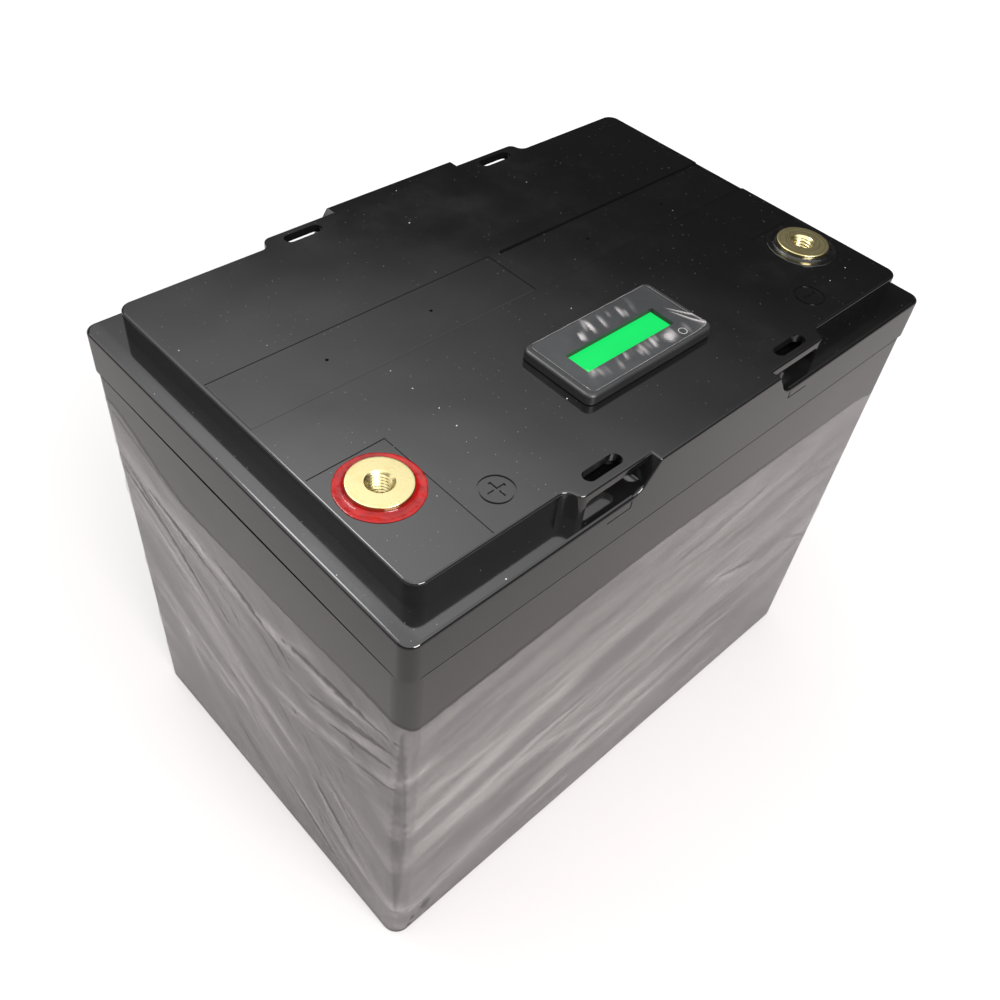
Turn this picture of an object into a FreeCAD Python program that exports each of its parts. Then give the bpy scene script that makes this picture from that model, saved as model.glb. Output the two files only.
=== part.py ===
"""Deep cycle battery: a 12 V lithium pack in a moulded case, built from its separate pieces.

Millimetres. +Z is up, X runs along the long side and Y along the short side. The origin is the
centre of the case's underside. The two terminals stand near the front edge, at -Y.
"""
import FreeCAD, Part
import math
import os

V = FreeCAD.Vector
UP = V(0, 0, 1)

# ---- driving dimensions of the housing ----
LENGTH = 260.0            # skirt of the lid, along X
WIDTH = 169.0             # skirt of the lid, along Y
SKIRT_BOTTOM = 185.3      # lower edge of the lid
FLANGE_TOP = 201.7        # flat ledge round the plateau
PLATEAU_TOP = 211.7       # main top surface of the lid
PLATEAU_INSET = 9.25      # from the skirt to the plateau's wall
SKIRT_RADIUS = 4.5        # vertical corners
PLATEAU_RADIUS = 4.8
FLANGE_ROUND = 1.2        # rounded outer edge of the flange
PLATEAU_ROUND = 0.8       # rounded outer edge of the plateau
SKIRT_WALL = 2.2
LID_WALL = 2.8
CASE_INSET = 0.2          # case wall behind the skirt
CASE_RADIUS = 6.5         # rounder than the skirt, so that the lid's corners overhang
CASE_WALL = 4.1
CASE_FLOOR = 3.2
CASE_EDGE = 1.0           # rounded lower edge of the case
RIM_TOP = 197.5           # the case's rim stands inside the skirt
RIM_GAP = 0.2
SEAM = 0.8                # gap between the case's shoulder and the lid
SEAM_GAPE = 0.9           # the gap is wider in the middle of the left wall
GAPE_CORNER = 4.0         # the gape starts this far in from the case's corners
GAPE_DEEPEST = -12.0      # where along Y it is widest

# ---- handle lugs and the centre sections between them ----
LUG_THICK = 3.0
LUG_OUT = 5.3             # the lug's edge, out from the plateau's wall
LUG_START = 66.0          # along X from the lid's middle
LUG_FULL = 59.5
CENTRE_END = 31.0         # end of the centre section at the top
CENTRE_TOE = 38.0         # where its sloping end would meet the flange
CENTRE_FLARE = 3.0        # and the reach of the curve between them
SLOT_X = 48.0
SLOT_LENGTH = 16.0
SLOT_WIDTH = 4.8
SLOT_IN = 0.1             # slot's centre line, out from the plateau's wall
POCKET_END = 59.6         # outer end of the hollow under each lug
POCKET_ROUND = 2.5
POCKET_DEEP = 4.8         # in behind the plateau's wall
POCKET_WALL = 2.4
BACK_SHIFT = 1.5          # the rear lugs sit a little further along +X
GROOVE = (41.4, 52.4)     # fine groove in the skirt under each pocket, along X
GROOVE_FOOT = 197.1
GROOVE_RISE = 3.2         # its upright end
GROOVE_LINE = 0.5         # width and depth

# ---- terminals ----
TERMINAL_X = 104.3
TERMINAL_Y = -41.0
DISC_RADIUS = 10.2
DISC_TOP = PLATEAU_TOP + 2.1
SHANK_RADIUS = 8.0
SHANK_BOTTOM = 194.0
THREAD_RADIUS = 3.4       # M8 tapped hole, at the crests
THREAD_BOTTOM = 197.0
SINK_RADIUS = 4.45
RING_RADIUS = 13.7
RING_DEPTH = 2.2
BOSS_RADIUS = 17.0

# ---- vent covers ----
STRIP_BACK = 25.2
STRIP_THICK = 2.2
STRIP_DROP = 0.8          # the right cover lies lower than the plateau
LEFT_COVER = (-119.4, -1.0)
RIGHT_COVER_START = 3.7
FIT = 0.12
VENT_RADIUS = 0.6
VENT_SPACING = (39.2, 82.7)

# ---- terminal pads and polarity marks ----
PAD_IN = 90.8
PAD_OUT = 119.2
PAD_BACK = -26.3
PAD_DEPTH = 0.25
MARK_X = 78.9
MARK_Y = -62.4
MARK_RADIUS = 5.9
MARK_LINE = 0.7
MARK_DEPTH = 0.4

# ---- state-of-charge display ----
DISPLAY = (-0.8, -39.2)   # its centre
BEZEL = (62.6, 31.7)
BEZEL_TOP = PLATEAU_TOP + 4.0
BEZEL_FACE = 1.4
BODY = (58.6, 28.0)       # the part that passes through the lid
BODY_BOTTOM = 206.5
BODY_WALL = 1.2
GASKET = 0.4
OVERLAY = (57.8, 28.9)
OVERLAY_THICK = 0.35
WINDOW = (-23.3, 19.8, -45.5, -35.2)
LCD_MARGIN = 1.2
LCD_THICK = 1.8
LIGHT_THICK = 2.5
BOARD_TOP = 209.4
BOARD_THICK = 1.6
KEY = (12.5, -49.4)
KEY_RADIUS = 2.0
KEY_TOP = BEZEL_TOP + 0.2
KEY_TRAVEL = 0.4

# ---- cells ----
CELLS = 8
CELL = (26.6, 148.2, 127.0)
CELL_GAP = 0.6
CELL_BOTTOM = 5.6
STUD_Y = 50.0
PAD_HEIGHT = 2.0
BAR_THICK = 1.5
NUT_THICK = 4.5
PLATE = 3.0
SIDE_BOARD = 2.0
STRAP_THICK = 0.8
STRAP_WIDE = 16.0

CELL_TOP = CELL_BOTTOM + CELL[2]
BAR_BOTTOM = CELL_TOP + PAD_HEIGHT
BAR_TOP = BAR_BOTTOM + BAR_THICK
PITCH = CELL[0] + CELL_GAP
STACK = CELLS * CELL[0] + (CELLS - 1) * CELL_GAP
CELL_X = [PITCH * (i - (CELLS - 1) / 2) for i in range(CELLS)]

# ---- electronics deck over the cells ----
DECK = (76.0, 61.0)       # half sizes
DECK_BOTTOM = 146.0
DECK_THICK = 1.6
SINK = (112.0, 76.0, 4.0)
SINK_CENTRE = (0.0, 20.0)
BMS = (106.0, 70.0, 1.6)
BMS_GAP = 4.4
LEAD_RADIUS = 4.0
WIRE_RADIUS = 0.7
LUG_PLATE = (14.0, 2.0)


def block(x0, x1, y0, y1, z0, z1):
    """Box between two corners."""
    return Part.makeBox(x1 - x0, y1 - y0, z1 - z0, V(x0, y0, z0))


def slab(size, centre, z0, z1):
    """Box of a plan size about a centre."""
    hx, hy = size[0] / 2, size[1] / 2
    return block(centre[0] - hx, centre[0] + hx, centre[1] - hy, centre[1] + hy, z0, z1)


def rounded(hx, hy, z0, z1, radius, centre=(0.0, 0.0)):
    """Upright block with rounded vertical corners, from its half sizes."""
    cx, cy = centre
    wire = []
    corners = [(1, 1, 0), (-1, 1, 90), (-1, -1, 180), (1, -1, 270)]
    arcs = []
    for sx, sy, start in corners:
        middle = V(cx + sx * (hx - radius), cy + sy * (hy - radius), z0)
        arcs.append(Part.ArcOfCircle(Part.Circle(middle, UP, radius),
                                     math.radians(start), math.radians(start + 90)))
    for here, after in zip(arcs, arcs[1:] + arcs[:1]):
        wire.append(here.toShape())
        wire.append(Part.makeLine(here.EndPoint, after.StartPoint))
    return Part.Face(Part.Wire(wire)).extrude(V(0, 0, z1 - z0))


def pillar(x, y, z0, z1, radius):
    """Upright cylinder."""
    return Part.makeCylinder(radius, z1 - z0, V(x, y, z0), UP)


def tube(x, y, z0, z1, outer, inner):
    """Upright pipe."""
    return pillar(x, y, z0, z1, outer).cut(pillar(x, y, z0, z1, inner))


def hexagon(x, y, z0, z1, across, bore):
    """Nut blank with a round bore, from its size across the flats."""
    reach = across / math.sqrt(3)
    points = [V(x + reach * math.cos(math.radians(60 * i)),
                y + reach * math.sin(math.radians(60 * i)), z0) for i in range(7)]
    body = Part.Face(Part.makePolygon(points)).extrude(V(0, 0, z1 - z0))
    return body.cut(pillar(x, y, z0 - 1, z1 + 1, bore)) if bore else body


def round_level(shape, z, radius):
    """Rounds the edges that lie at one height."""
    edges = [e for e in shape.Edges if abs(e.BoundBox.ZMin - z) < 1e-4 and abs(e.BoundBox.ZMax - z) < 1e-4]
    return shape.makeFillet(radius, edges)


def fuse(shapes):
    """One solid from several that meet."""
    joined = shapes[0].multiFuse(shapes[1:]) if len(shapes) > 1 else shapes[0]
    return joined.removeSplitter()


def group(shapes):
    """Separate solids that share one node."""
    return Part.makeCompound(shapes)


def mirror_x(shape):
    return shape.mirror(V(0, 0, 0), V(1, 0, 0))


def mirror_y(shape):
    return shape.mirror(V(0, 0, 0), V(0, 1, 0))


def s_bend(start, end):
    """Two equal tangent arcs from start to end, both ends parallel to X."""
    run = end.x - start.x
    rise = end.y - start.y
    radius = (run ** 2 + rise ** 2) / (4 * abs(rise))
    turn = 2 * math.atan2(abs(rise), abs(run))
    along = math.copysign(1, run)
    across = math.copysign(1, rise)
    middle = (start + end) * 0.5
    reach = V(along * radius * math.sin(turn / 2), across * radius * (1 - math.cos(turn / 2)), 0)
    return [Part.Arc(start, start + reach, middle).toShape(),
            Part.Arc(middle, end - reach, end).toShape()]


def lead(points, radius):
    """Round lead along straight runs joined by tangent arcs."""
    edges = []
    last = points[0]
    for before, corner, after in zip(points, points[1:], points[2:]):
        into = corner - before
        out = after - corner
        turn = into.getAngle(out)
        cut = 0.45 * min(into.Length, out.Length)
        bend = cut / math.tan(turn / 2)
        into.normalize()
        out.normalize()
        start = corner - into * cut
        end = corner + out * cut
        inward = out - into
        inward.normalize()
        sagitta = bend / math.cos(turn / 2) - bend
        edges.append(Part.makeLine(last, start))
        edges.append(Part.Arc(start, corner + inward * sagitta, end).toShape())
        last = end
    edges.append(Part.makeLine(last, points[-1]))
    path = Part.Wire(edges)
    first = points[1] - points[0]
    profile = Part.Wire(Part.makeCircle(radius, points[0], first))
    return path.makePipeShell([profile], True, False)


# ---------------------------------------------------------------- housing
def seam_gape(rim):
    """Sliver off the case's left shoulder, where the seam gapes."""
    level = SKIRT_BOTTOM - SEAM
    reach = WIDTH / 2 - GAPE_CORNER
    ends = [V(-LENGTH / 2 - 1, -reach, level), V(-LENGTH / 2 - 1, reach, level)]
    sag = V(-LENGTH / 2 - 1, GAPE_DEEPEST, level - SEAM_GAPE)
    over = [p + V(0, 0, 1) for p in reversed(ends)]
    edges = [Part.Arc(ends[0], sag, ends[1]).toShape()]
    edges += [Part.makeLine(a, b) for a, b in zip([ends[1]] + over, over + [ends[0]])]
    return Part.Face(Part.Wire(edges)).extrude(V(rim + LENGTH / 2 + 1, 0, 0))


def case():
    hx = LENGTH / 2 - CASE_INSET
    hy = WIDTH / 2 - CASE_INSET
    outer = rounded(hx, hy, 0, SKIRT_BOTTOM - SEAM, CASE_RADIUS)
    outer = round_level(outer, 0, CASE_EDGE)
    rim_x = LENGTH / 2 - SKIRT_WALL - RIM_GAP
    rim_y = WIDTH / 2 - SKIRT_WALL - RIM_GAP
    rim = rounded(rim_x, rim_y, SKIRT_BOTTOM - 4, RIM_TOP, CASE_RADIUS - 1.2)
    inner = rounded(hx - CASE_WALL, hy - CASE_WALL, CASE_FLOOR, RIM_TOP + 1, CASE_RADIUS - 2.5)
    return outer.cut(seam_gape(-rim_x)).fuse(rim).cut(inner).removeSplitter()


def lug_plate(z0, z1):
    """Both front lugs in one piece, in to the plateau, between two heights."""
    wall = -WIDTH / 2 + PLATEAU_INSET
    edge = wall - LUG_OUT
    inside = wall + 3
    left, right = V(-LUG_START, wall, z0), V(LUG_START, wall, z0)
    near_left, near_right = V(-LUG_FULL, edge, z0), V(LUG_FULL, edge, z0)
    edges = s_bend(left, near_left) + [Part.makeLine(near_left, near_right)] + s_bend(near_right, right)
    back = [right, V(LUG_START, inside, z0), V(-LUG_START, inside, z0), left]
    edges += [Part.makeLine(a, b) for a, b in zip(back, back[1:])]
    return Part.Face(Part.Wire(edges)).extrude(V(0, 0, z1 - z0))


def centre_section():
    """Middle of the front side, out to the skirt's face. Its ends slope, and flare at the foot."""
    face = -WIDTH / 2
    slope = math.atan2(PLATEAU_TOP - FLANGE_TOP, CENTRE_TOE - CENTRE_END)
    bend = CENTRE_FLARE / math.tan(slope / 2)
    half = slope / 2
    low = FLANGE_TOP - 3

    def end(side):
        top = V(side * CENTRE_END, face, PLATEAU_TOP)
        turn = V(side * (CENTRE_TOE - CENTRE_FLARE * math.cos(slope)), face,
                 FLANGE_TOP + CENTRE_FLARE * math.sin(slope))
        belly = V(side * (CENTRE_TOE + CENTRE_FLARE - bend * math.sin(half)), face,
                  FLANGE_TOP + bend * (1 - math.cos(half)))
        foot = V(side * (CENTRE_TOE + CENTRE_FLARE), face, FLANGE_TOP)
        return top, turn, belly, foot, V(foot.x, face, low)

    edges = []
    for side in (-1, 1):
        top, turn, belly, foot, under = end(side)
        edges += [Part.makeLine(top, turn), Part.Arc(turn, belly, foot).toShape(),
                  Part.makeLine(foot, under)]
    edges.append(Part.makeLine(end(-1)[0], end(1)[0]))
    edges.append(Part.makeLine(end(-1)[4], end(1)[4]))
    depth = PLATEAU_INSET + POCKET_DEEP + 0.6
    body = Part.Face(Part.Wire(Part.__sortEdges__(edges))).extrude(V(0, depth, 0))
    outer = [e for e in body.Edges if e.BoundBox.YMax < face + 1e-4 and e.BoundBox.ZMax > FLANGE_TOP + 1e-3]
    ends = [e for e in body.Edges if e.BoundBox.ZMin > PLATEAU_TOP - 1e-4 and e.BoundBox.YLength > 1
            and e.BoundBox.XLength < 1e-4]
    return body.makeFillet(PLATEAU_ROUND, outer + ends)


def both_sides(front):
    """The front shape, and its mirror image at the back."""
    back = mirror_y(front)
    back.translate(V(BACK_SHIFT, 0, 0))
    return [front, back]


def all_lugs(front_right):
    """The shape at the front right lug, repeated at all four."""
    return [s for one in (front_right, mirror_x(front_right)) for s in both_sides(one)]


def pocket():
    """Hollow under the front right lug, open to the front. Its outer end rounds up to the lug."""
    top = PLATEAU_TOP - LUG_THICK
    hollow = block(CENTRE_END, POCKET_END, -WIDTH / 2 - 1, -WIDTH / 2 + PLATEAU_INSET + POCKET_DEEP,
                   FLANGE_TOP, top)
    corner = [e for e in hollow.Edges if abs(e.BoundBox.XMin - POCKET_END) < 1e-4
              and abs(e.BoundBox.ZMin - top) < 1e-4]
    return hollow.makeFillet(POCKET_ROUND, corner)


def rope_slot():
    """Slot for the rope handle, through the front right lug."""
    y = -WIDTH / 2 + PLATEAU_INSET - SLOT_IN
    return rounded(SLOT_LENGTH / 2, SLOT_WIDTH / 2, PLATEAU_TOP - LUG_THICK - 1, PLATEAU_TOP + 1,
                   SLOT_WIDTH / 2 - 0.01, (SLOT_X, y))


def lip_grooves():
    """Fine groove in the skirt that marks off a lip below the front right pocket."""
    face = -WIDTH / 2
    start, end = GROOVE
    inner = face + GROOVE_LINE
    foot = block(start, end, face - 1, inner, GROOVE_FOOT, GROOVE_FOOT + GROOVE_LINE)
    side = block(start, start + GROOVE_LINE, face - 1, inner, GROOVE_FOOT, GROOVE_FOOT + GROOVE_RISE)
    return foot.fuse(side).removeSplitter()


def terminal_seat(x):
    """Boss that holds one terminal, with the recess for its resin ring."""
    return pillar(x, TERMINAL_Y, PLATEAU_TOP - 12, PLATEAU_TOP - 1, BOSS_RADIUS)


def terminal_hole(x):
    recess = pillar(x, TERMINAL_Y, PLATEAU_TOP - RING_DEPTH, PLATEAU_TOP + 1, RING_RADIUS)
    bore = pillar(x, TERMINAL_Y, PLATEAU_TOP - 14, PLATEAU_TOP, SHANK_RADIUS)
    return recess.fuse(bore)


def polarity_mark(x, positive):
    """Sunk ring with a plus or a minus inside."""
    low, high = PLATEAU_TOP - MARK_DEPTH, PLATEAU_TOP + 1
    ring = tube(x, MARK_Y, low, high, MARK_RADIUS, MARK_RADIUS - MARK_LINE)
    arm, half = 3.4, 0.55
    bars = [block(x - arm, x + arm, MARK_Y - half, MARK_Y + half, low, high)]
    if positive:
        bars.append(block(x - half, x + half, MARK_Y - arm, MARK_Y + arm, low, high))
    return [ring] + [fuse(bars)]


def lid_outer():
    hx, hy = LENGTH / 2, WIDTH / 2
    flange = rounded(hx, hy, SKIRT_BOTTOM, FLANGE_TOP, SKIRT_RADIUS)
    flange = round_level(flange, FLANGE_TOP, FLANGE_ROUND)
    px, py = hx - PLATEAU_INSET, hy - PLATEAU_INSET
    under = PLATEAU_TOP - LUG_THICK
    core = rounded(px, py, FLANGE_TOP - 2, under, PLATEAU_RADIUS)
    top = rounded(px, py, under, PLATEAU_TOP, PLATEAU_RADIUS)
    plates = both_sides(lug_plate(under, PLATEAU_TOP))
    top = round_level(fuse([top] + plates), PLATEAU_TOP, PLATEAU_ROUND)
    webs = both_sides(lug_plate(FLANGE_TOP - 3, under))
    body = fuse([flange, core, top] + webs)
    for cut in all_lugs(pocket()) + all_lugs(lip_grooves()):
        body = body.cut(cut)
    return fuse([body] + both_sides(centre_section()))


def lid_hollow():
    """Space inside the lid, clear of the walls round the pockets, strip, seats and display."""
    hx, hy = LENGTH / 2, WIDTH / 2
    low = rounded(hx - SKIRT_WALL, hy - SKIRT_WALL, SKIRT_BOTTOM - 1, FLANGE_TOP - LID_WALL,
                  SKIRT_RADIUS - SKIRT_WALL)
    px, py = hx - PLATEAU_INSET - LID_WALL, hy - PLATEAU_INSET - LID_WALL
    high = rounded(px, py, FLANGE_TOP - LID_WALL - 1, PLATEAU_TOP - LID_WALL, 3.0)
    wall = -hy + PLATEAU_INSET
    around = block(CENTRE_END - POCKET_WALL, POCKET_END + POCKET_WALL, -hy,
                   wall + POCKET_DEEP + POCKET_WALL, FLANGE_TOP - LID_WALL, PLATEAU_TOP)
    strip = block(-px, px, -POCKET_WALL, STRIP_BACK + POCKET_WALL, PLATEAU_TOP - 5.4, PLATEAU_TOP)
    high = high.cut(strip)
    for keep in all_lugs(around) + [terminal_seat(-TERMINAL_X), terminal_seat(TERMINAL_X)]:
        high = high.cut(keep)
    return low.fuse(high)


def strip_recess():
    left = block(LEFT_COVER[0], LEFT_COVER[1], 0, STRIP_BACK,
                 PLATEAU_TOP - STRIP_THICK, PLATEAU_TOP + 1)
    low = PLATEAU_TOP - STRIP_DROP
    right = block(RIGHT_COVER_START, LENGTH / 2, 0, STRIP_BACK, low - STRIP_THICK, PLATEAU_TOP + 1)
    stop = block(LENGTH / 2 - PLATEAU_INSET - 1.6, LENGTH / 2, -1, STRIP_BACK + 1,
                 low - STRIP_THICK - 1, low)
    corner = [e for e in right.Edges if abs(e.BoundBox.XMax - RIGHT_COVER_START) < 1e-4
              and e.BoundBox.ZLength > 1]
    return [left, right.makeFillet(2.0, corner).cut(stop)]


def lid():
    body = lid_outer()
    for cut in all_lugs(rope_slot()):
        body = body.cut(cut)
    body = body.cut(lid_hollow())
    for cut in strip_recess() + [terminal_hole(-TERMINAL_X), terminal_hole(TERMINAL_X)]:
        body = body.cut(cut)
    front = -WIDTH / 2 + PLATEAU_INSET + 1.2
    for side in (-1, 1):
        x0, x1 = sorted((side * PAD_IN, side * PAD_OUT))
        body = body.cut(block(x0, x1, front, PAD_BACK, PLATEAU_TOP - PAD_DEPTH, PLATEAU_TOP + 1))
    for cut in polarity_mark(-MARK_X, True) + polarity_mark(MARK_X, False):
        body = body.cut(cut)
    hole = rounded(BODY[0] / 2 + 0.2, BODY[1] / 2 + 0.2, PLATEAU_TOP - 8, PLATEAU_TOP + 1, 1.0, DISPLAY)
    return body.cut(hole)


def lid_seal():
    rim_x = LENGTH / 2 - SKIRT_WALL - RIM_GAP
    rim_y = WIDTH / 2 - SKIRT_WALL - RIM_GAP
    low, high = RIM_TOP, FLANGE_TOP - LID_WALL
    outer = rounded(rim_x - 0.2, rim_y - 0.2, low, high, 4.4)
    return outer.cut(rounded(rim_x - 1.8, rim_y - 1.8, low - 1, high + 1, 3.0))


def vent_holes(cover, side):
    for x in VENT_SPACING:
        cover = cover.cut(pillar(side * x, STRIP_BACK / 2, PLATEAU_TOP - 5, PLATEAU_TOP + 1, VENT_RADIUS))
    return cover


def vent_cover_left():
    cover = block(LEFT_COVER[0] + FIT, LEFT_COVER[1] - FIT, FIT, STRIP_BACK - FIT,
                  PLATEAU_TOP - STRIP_THICK, PLATEAU_TOP)
    return vent_holes(round_level(cover, PLATEAU_TOP, 0.25), -1)


def vent_cover_right():
    top = PLATEAU_TOP - STRIP_DROP
    end = LENGTH / 2 - PLATEAU_INSET - 1.6
    cover = block(RIGHT_COVER_START + FIT, end - FIT, FIT, STRIP_BACK - FIT, top - STRIP_THICK, top)
    corner = [e for e in cover.Edges
              if abs(e.BoundBox.XMax - RIGHT_COVER_START - FIT) < 1e-4 and e.BoundBox.ZLength > 1]
    return vent_holes(round_level(cover.makeFillet(2.0, corner), top, 0.25), 1)


def wrap_film():
    """Clear protective film round the walls of the case."""
    low, high = 2.6, 158.0
    gap, thick = 0.05, 0.15
    hx, hy = LENGTH / 2 - CASE_INSET + gap, WIDTH / 2 - CASE_INSET + gap
    radius = CASE_RADIUS + gap
    outer = rounded(hx + thick, hy + thick, low, high, radius + thick)
    return outer.cut(rounded(hx, hy, low - 1, high + 1, radius))


# ---------------------------------------------------------------- terminals
def terminal(x):
    """Brass insert: polished disc on a grooved shank, tapped from above."""
    disc = pillar(x, TERMINAL_Y, PLATEAU_TOP - RING_DEPTH, DISC_TOP, DISC_RADIUS)
    disc = round_level(disc, DISC_TOP, 0.35)
    shank = pillar(x, TERMINAL_Y, SHANK_BOTTOM, PLATEAU_TOP - RING_DEPTH, SHANK_RADIUS)
    body = disc.fuse(shank)
    groove = tube(x, TERMINAL_Y, PLATEAU_TOP - 8, PLATEAU_TOP - 6, SHANK_RADIUS + 1, SHANK_RADIUS - 1.2)
    hole = pillar(x, TERMINAL_Y, THREAD_BOTTOM, DISC_TOP + 1, THREAD_RADIUS)
    depth = SINK_RADIUS - THREAD_RADIUS
    sink = Part.makeCone(THREAD_RADIUS, SINK_RADIUS, depth, V(x, TERMINAL_Y, DISC_TOP - depth), UP)
    return body.cut(groove).cut(hole).cut(sink).cut(lug_bolt_hole(x)).removeSplitter()


def lug_bolt_hole(x):
    return pillar(x, TERMINAL_Y, SHANK_BOTTOM - 1, THREAD_BOTTOM - 0.6, 2.0)


def seal_ring(x):
    """Cast resin ring that fills the recess round the disc."""
    ring = tube(x, TERMINAL_Y, PLATEAU_TOP - RING_DEPTH, PLATEAU_TOP + 0.35, RING_RADIUS, DISC_RADIUS)
    outer = [e for e in ring.Edges if abs(e.BoundBox.ZMin - PLATEAU_TOP - 0.35) < 1e-4
             and e.BoundBox.XLength > 2 * DISC_RADIUS + 1]
    return ring.makeFillet(0.3, outer)


def o_rings():
    middle = PLATEAU_TOP - 7
    rings = [Part.makeTorus(SHANK_RADIUS - 0.6, 0.55, V(x, TERMINAL_Y, middle), UP)
             for x in (-TERMINAL_X, TERMINAL_X)]
    return group(rings)


# ---------------------------------------------------------------- display
def local(size, z0, z1, radius):
    """Rounded block about the display's centre."""
    return rounded(size[0] / 2, size[1] / 2, z0, z1, radius, DISPLAY)


def window(z0, z1, margin=0.0):
    x0, x1, y0, y1 = WINDOW
    return block(x0 - margin, x1 + margin, y0 - margin, y1 + margin, z0, z1)


def board_holes():
    """Centres of the two screws that hold the circuit board."""
    return [(DISPLAY[0] + side * 25.0, DISPLAY[1] + 9.5) for side in (-1, 1)]


def display_bezel():
    rest = PLATEAU_TOP + GASKET
    floor = BEZEL_TOP - OVERLAY_THICK - 0.05
    head = round_level(local(BEZEL, rest, BEZEL_TOP, 3.2), BEZEL_TOP, 1.1)
    body = local(BODY, BODY_BOTTOM, rest, 1.0)
    inner = local((BODY[0] - 2 * BODY_WALL, BODY[1] - 2 * BODY_WALL),
                  BODY_BOTTOM - 1, floor - BEZEL_FACE, 0.5)
    shell = head.fuse(body).cut(inner)
    bosses = [tube(x, y, BOARD_TOP, floor - 0.5, 2.0, 0.8) for x, y in board_holes()]
    shell = shell.multiFuse(bosses)
    shell = shell.cut(local(OVERLAY, floor, BEZEL_TOP + 1, 2.0))
    shell = shell.cut(window(floor - 2, BEZEL_TOP + 1))
    return shell.cut(pillar(KEY[0], KEY[1], floor - 2, BEZEL_TOP + 1, KEY_RADIUS + 0.3)).removeSplitter()


def display_gasket():
    outer = local((BEZEL[0] - 0.8, BEZEL[1] - 0.8), PLATEAU_TOP, PLATEAU_TOP + GASKET, 2.8)
    return outer.cut(local((BODY[0] + 0.2, BODY[1] + 0.2), PLATEAU_TOP - 1, PLATEAU_TOP + 2, 1.1))


def display_overlay():
    floor = BEZEL_TOP - OVERLAY_THICK - 0.05
    sheet = local((OVERLAY[0] - 0.2, OVERLAY[1] - 0.2), floor, floor + OVERLAY_THICK, 1.9)
    sheet = sheet.cut(window(floor - 1, BEZEL_TOP + 1))
    return sheet.cut(pillar(KEY[0], KEY[1], floor - 1, BEZEL_TOP + 1, KEY_RADIUS + 0.3))


def lcd_levels():
    top = BEZEL_TOP - OVERLAY_THICK - 0.05 - BEZEL_FACE
    return top, top - LCD_THICK, top - LCD_THICK - LIGHT_THICK


def display_lcd():
    top, under, _ = lcd_levels()
    return window(under, top, LCD_MARGIN)


def display_backlight():
    _, top, under = lcd_levels()
    return window(under, top, LCD_MARGIN)


def display_board():
    size = (BODY[0] - 2 * BODY_WALL - 0.4, BODY[1] - 2 * BODY_WALL - 0.4)
    board = local(size, BOARD_TOP - BOARD_THICK, BOARD_TOP, 0.6)
    for x, y in board_holes():
        board = board.cut(pillar(x, y, BOARD_TOP - 3, BOARD_TOP + 1, 1.1))
    return board


def board_screws():
    low = BOARD_TOP - BOARD_THICK
    screws = []
    for x, y in board_holes():
        head = pillar(x, y, low - 1.0, low, 1.8)
        screws.append(head.fuse(pillar(x, y, low, BOARD_TOP + 3.0, 0.8)))
    return group(screws)


def key_switch():
    x, y = KEY
    body = slab((5.0, 3.4), (x, y - 0.1), BOARD_TOP, BOARD_TOP + 1.0)
    return body.fuse(pillar(x, y, BOARD_TOP + 1.0, BOARD_TOP + 1.3, 1.3))


def display_key():
    """Round key cap with a collar under the bezel's face and a stem over the switch."""
    x, y = KEY
    under = lcd_levels()[0]
    cap = pillar(x, y, under - 0.15, KEY_TOP, KEY_RADIUS)
    cap = round_level(cap, KEY_TOP, 0.25)
    collar = pillar(x, y, under - 0.85, under - 0.15, KEY_RADIUS + 0.35)
    stem = pillar(x, y, BOARD_TOP + 1.3 + KEY_TRAVEL + 0.1, under - 0.85, 1.0)
    return cap.fuse(collar).fuse(stem).removeSplitter()


def display_film():
    """Clear protective film on the display."""
    return local(OVERLAY, KEY_TOP + 0.05, KEY_TOP + 0.15, 2.0)


def display_plug():
    """Two-pole plug under the board."""
    low = BOARD_TOP - BOARD_THICK
    return slab((8.0, 5.0), (DISPLAY[0] - 10.0, DISPLAY[1]), low - 4.5, low)


# ---------------------------------------------------------------- cells
def cell(x):
    body = rounded(CELL[0] / 2, CELL[1] / 2, CELL_BOTTOM, CELL_TOP, 2.0, (x, 0.0))
    vent = pillar(x, 0, CELL_TOP - 0.5, CELL_TOP + 1, 6.0)
    body = body.cut(vent)
    for y in (-STUD_Y, STUD_Y):
        body = body.fuse(slab((16.0, 16.0), (x, y), CELL_TOP, BAR_BOTTOM))
        body = body.fuse(pillar(x, y, BAR_BOTTOM, BAR_TOP + NUT_THICK + 1.0, 3.0))
    return body.removeSplitter()


def cell_separators():
    half = CELL_GAP / 2 - 0.02
    gaps = [(a + b) / 2 for a, b in zip(CELL_X, CELL_X[1:])]
    return group([block(x - half, x + half, -CELL[1] / 2, CELL[1] / 2, CELL_BOTTOM, CELL_TOP - 1)
                  for x in gaps])


def end_plate(side):
    x0, x1 = sorted((side * (STACK / 2 + 0.1), side * (STACK / 2 + 0.1 + PLATE)))
    plate = block(x0, x1, -CELL[1] / 2, CELL[1] / 2, CELL_BOTTOM, CELL_TOP - 2)
    across = [e for e in plate.Edges if e.BoundBox.ZLength > 1 and abs(e.BoundBox.XMax) > STACK / 2 + 1
              and abs(abs(e.BoundBox.XMax) - STACK / 2 - 0.1 - PLATE) < 1e-3]
    return plate.makeFillet(1.5, across)


def side_boards():
    near = CELL[1] / 2 + 0.1
    front = block(-STACK / 2, STACK / 2, -near - SIDE_BOARD, -near, CELL_BOTTOM, CELL_TOP - 2)
    return group([front, mirror_y(front)])


def pack_straps():
    hx = STACK / 2 + 0.2 + PLATE
    hy = CELL[1] / 2 + 0.2 + SIDE_BOARD
    straps = []
    for z in (CELL_BOTTOM + 26, CELL_TOP - 42):
        outer = rounded(hx + STRAP_THICK, hy + STRAP_THICK, z, z + STRAP_WIDE, 2.3)
        straps.append(outer.cut(rounded(hx, hy, z - 1, z + STRAP_WIDE + 1, 1.5)))
    return group(straps)


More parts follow.
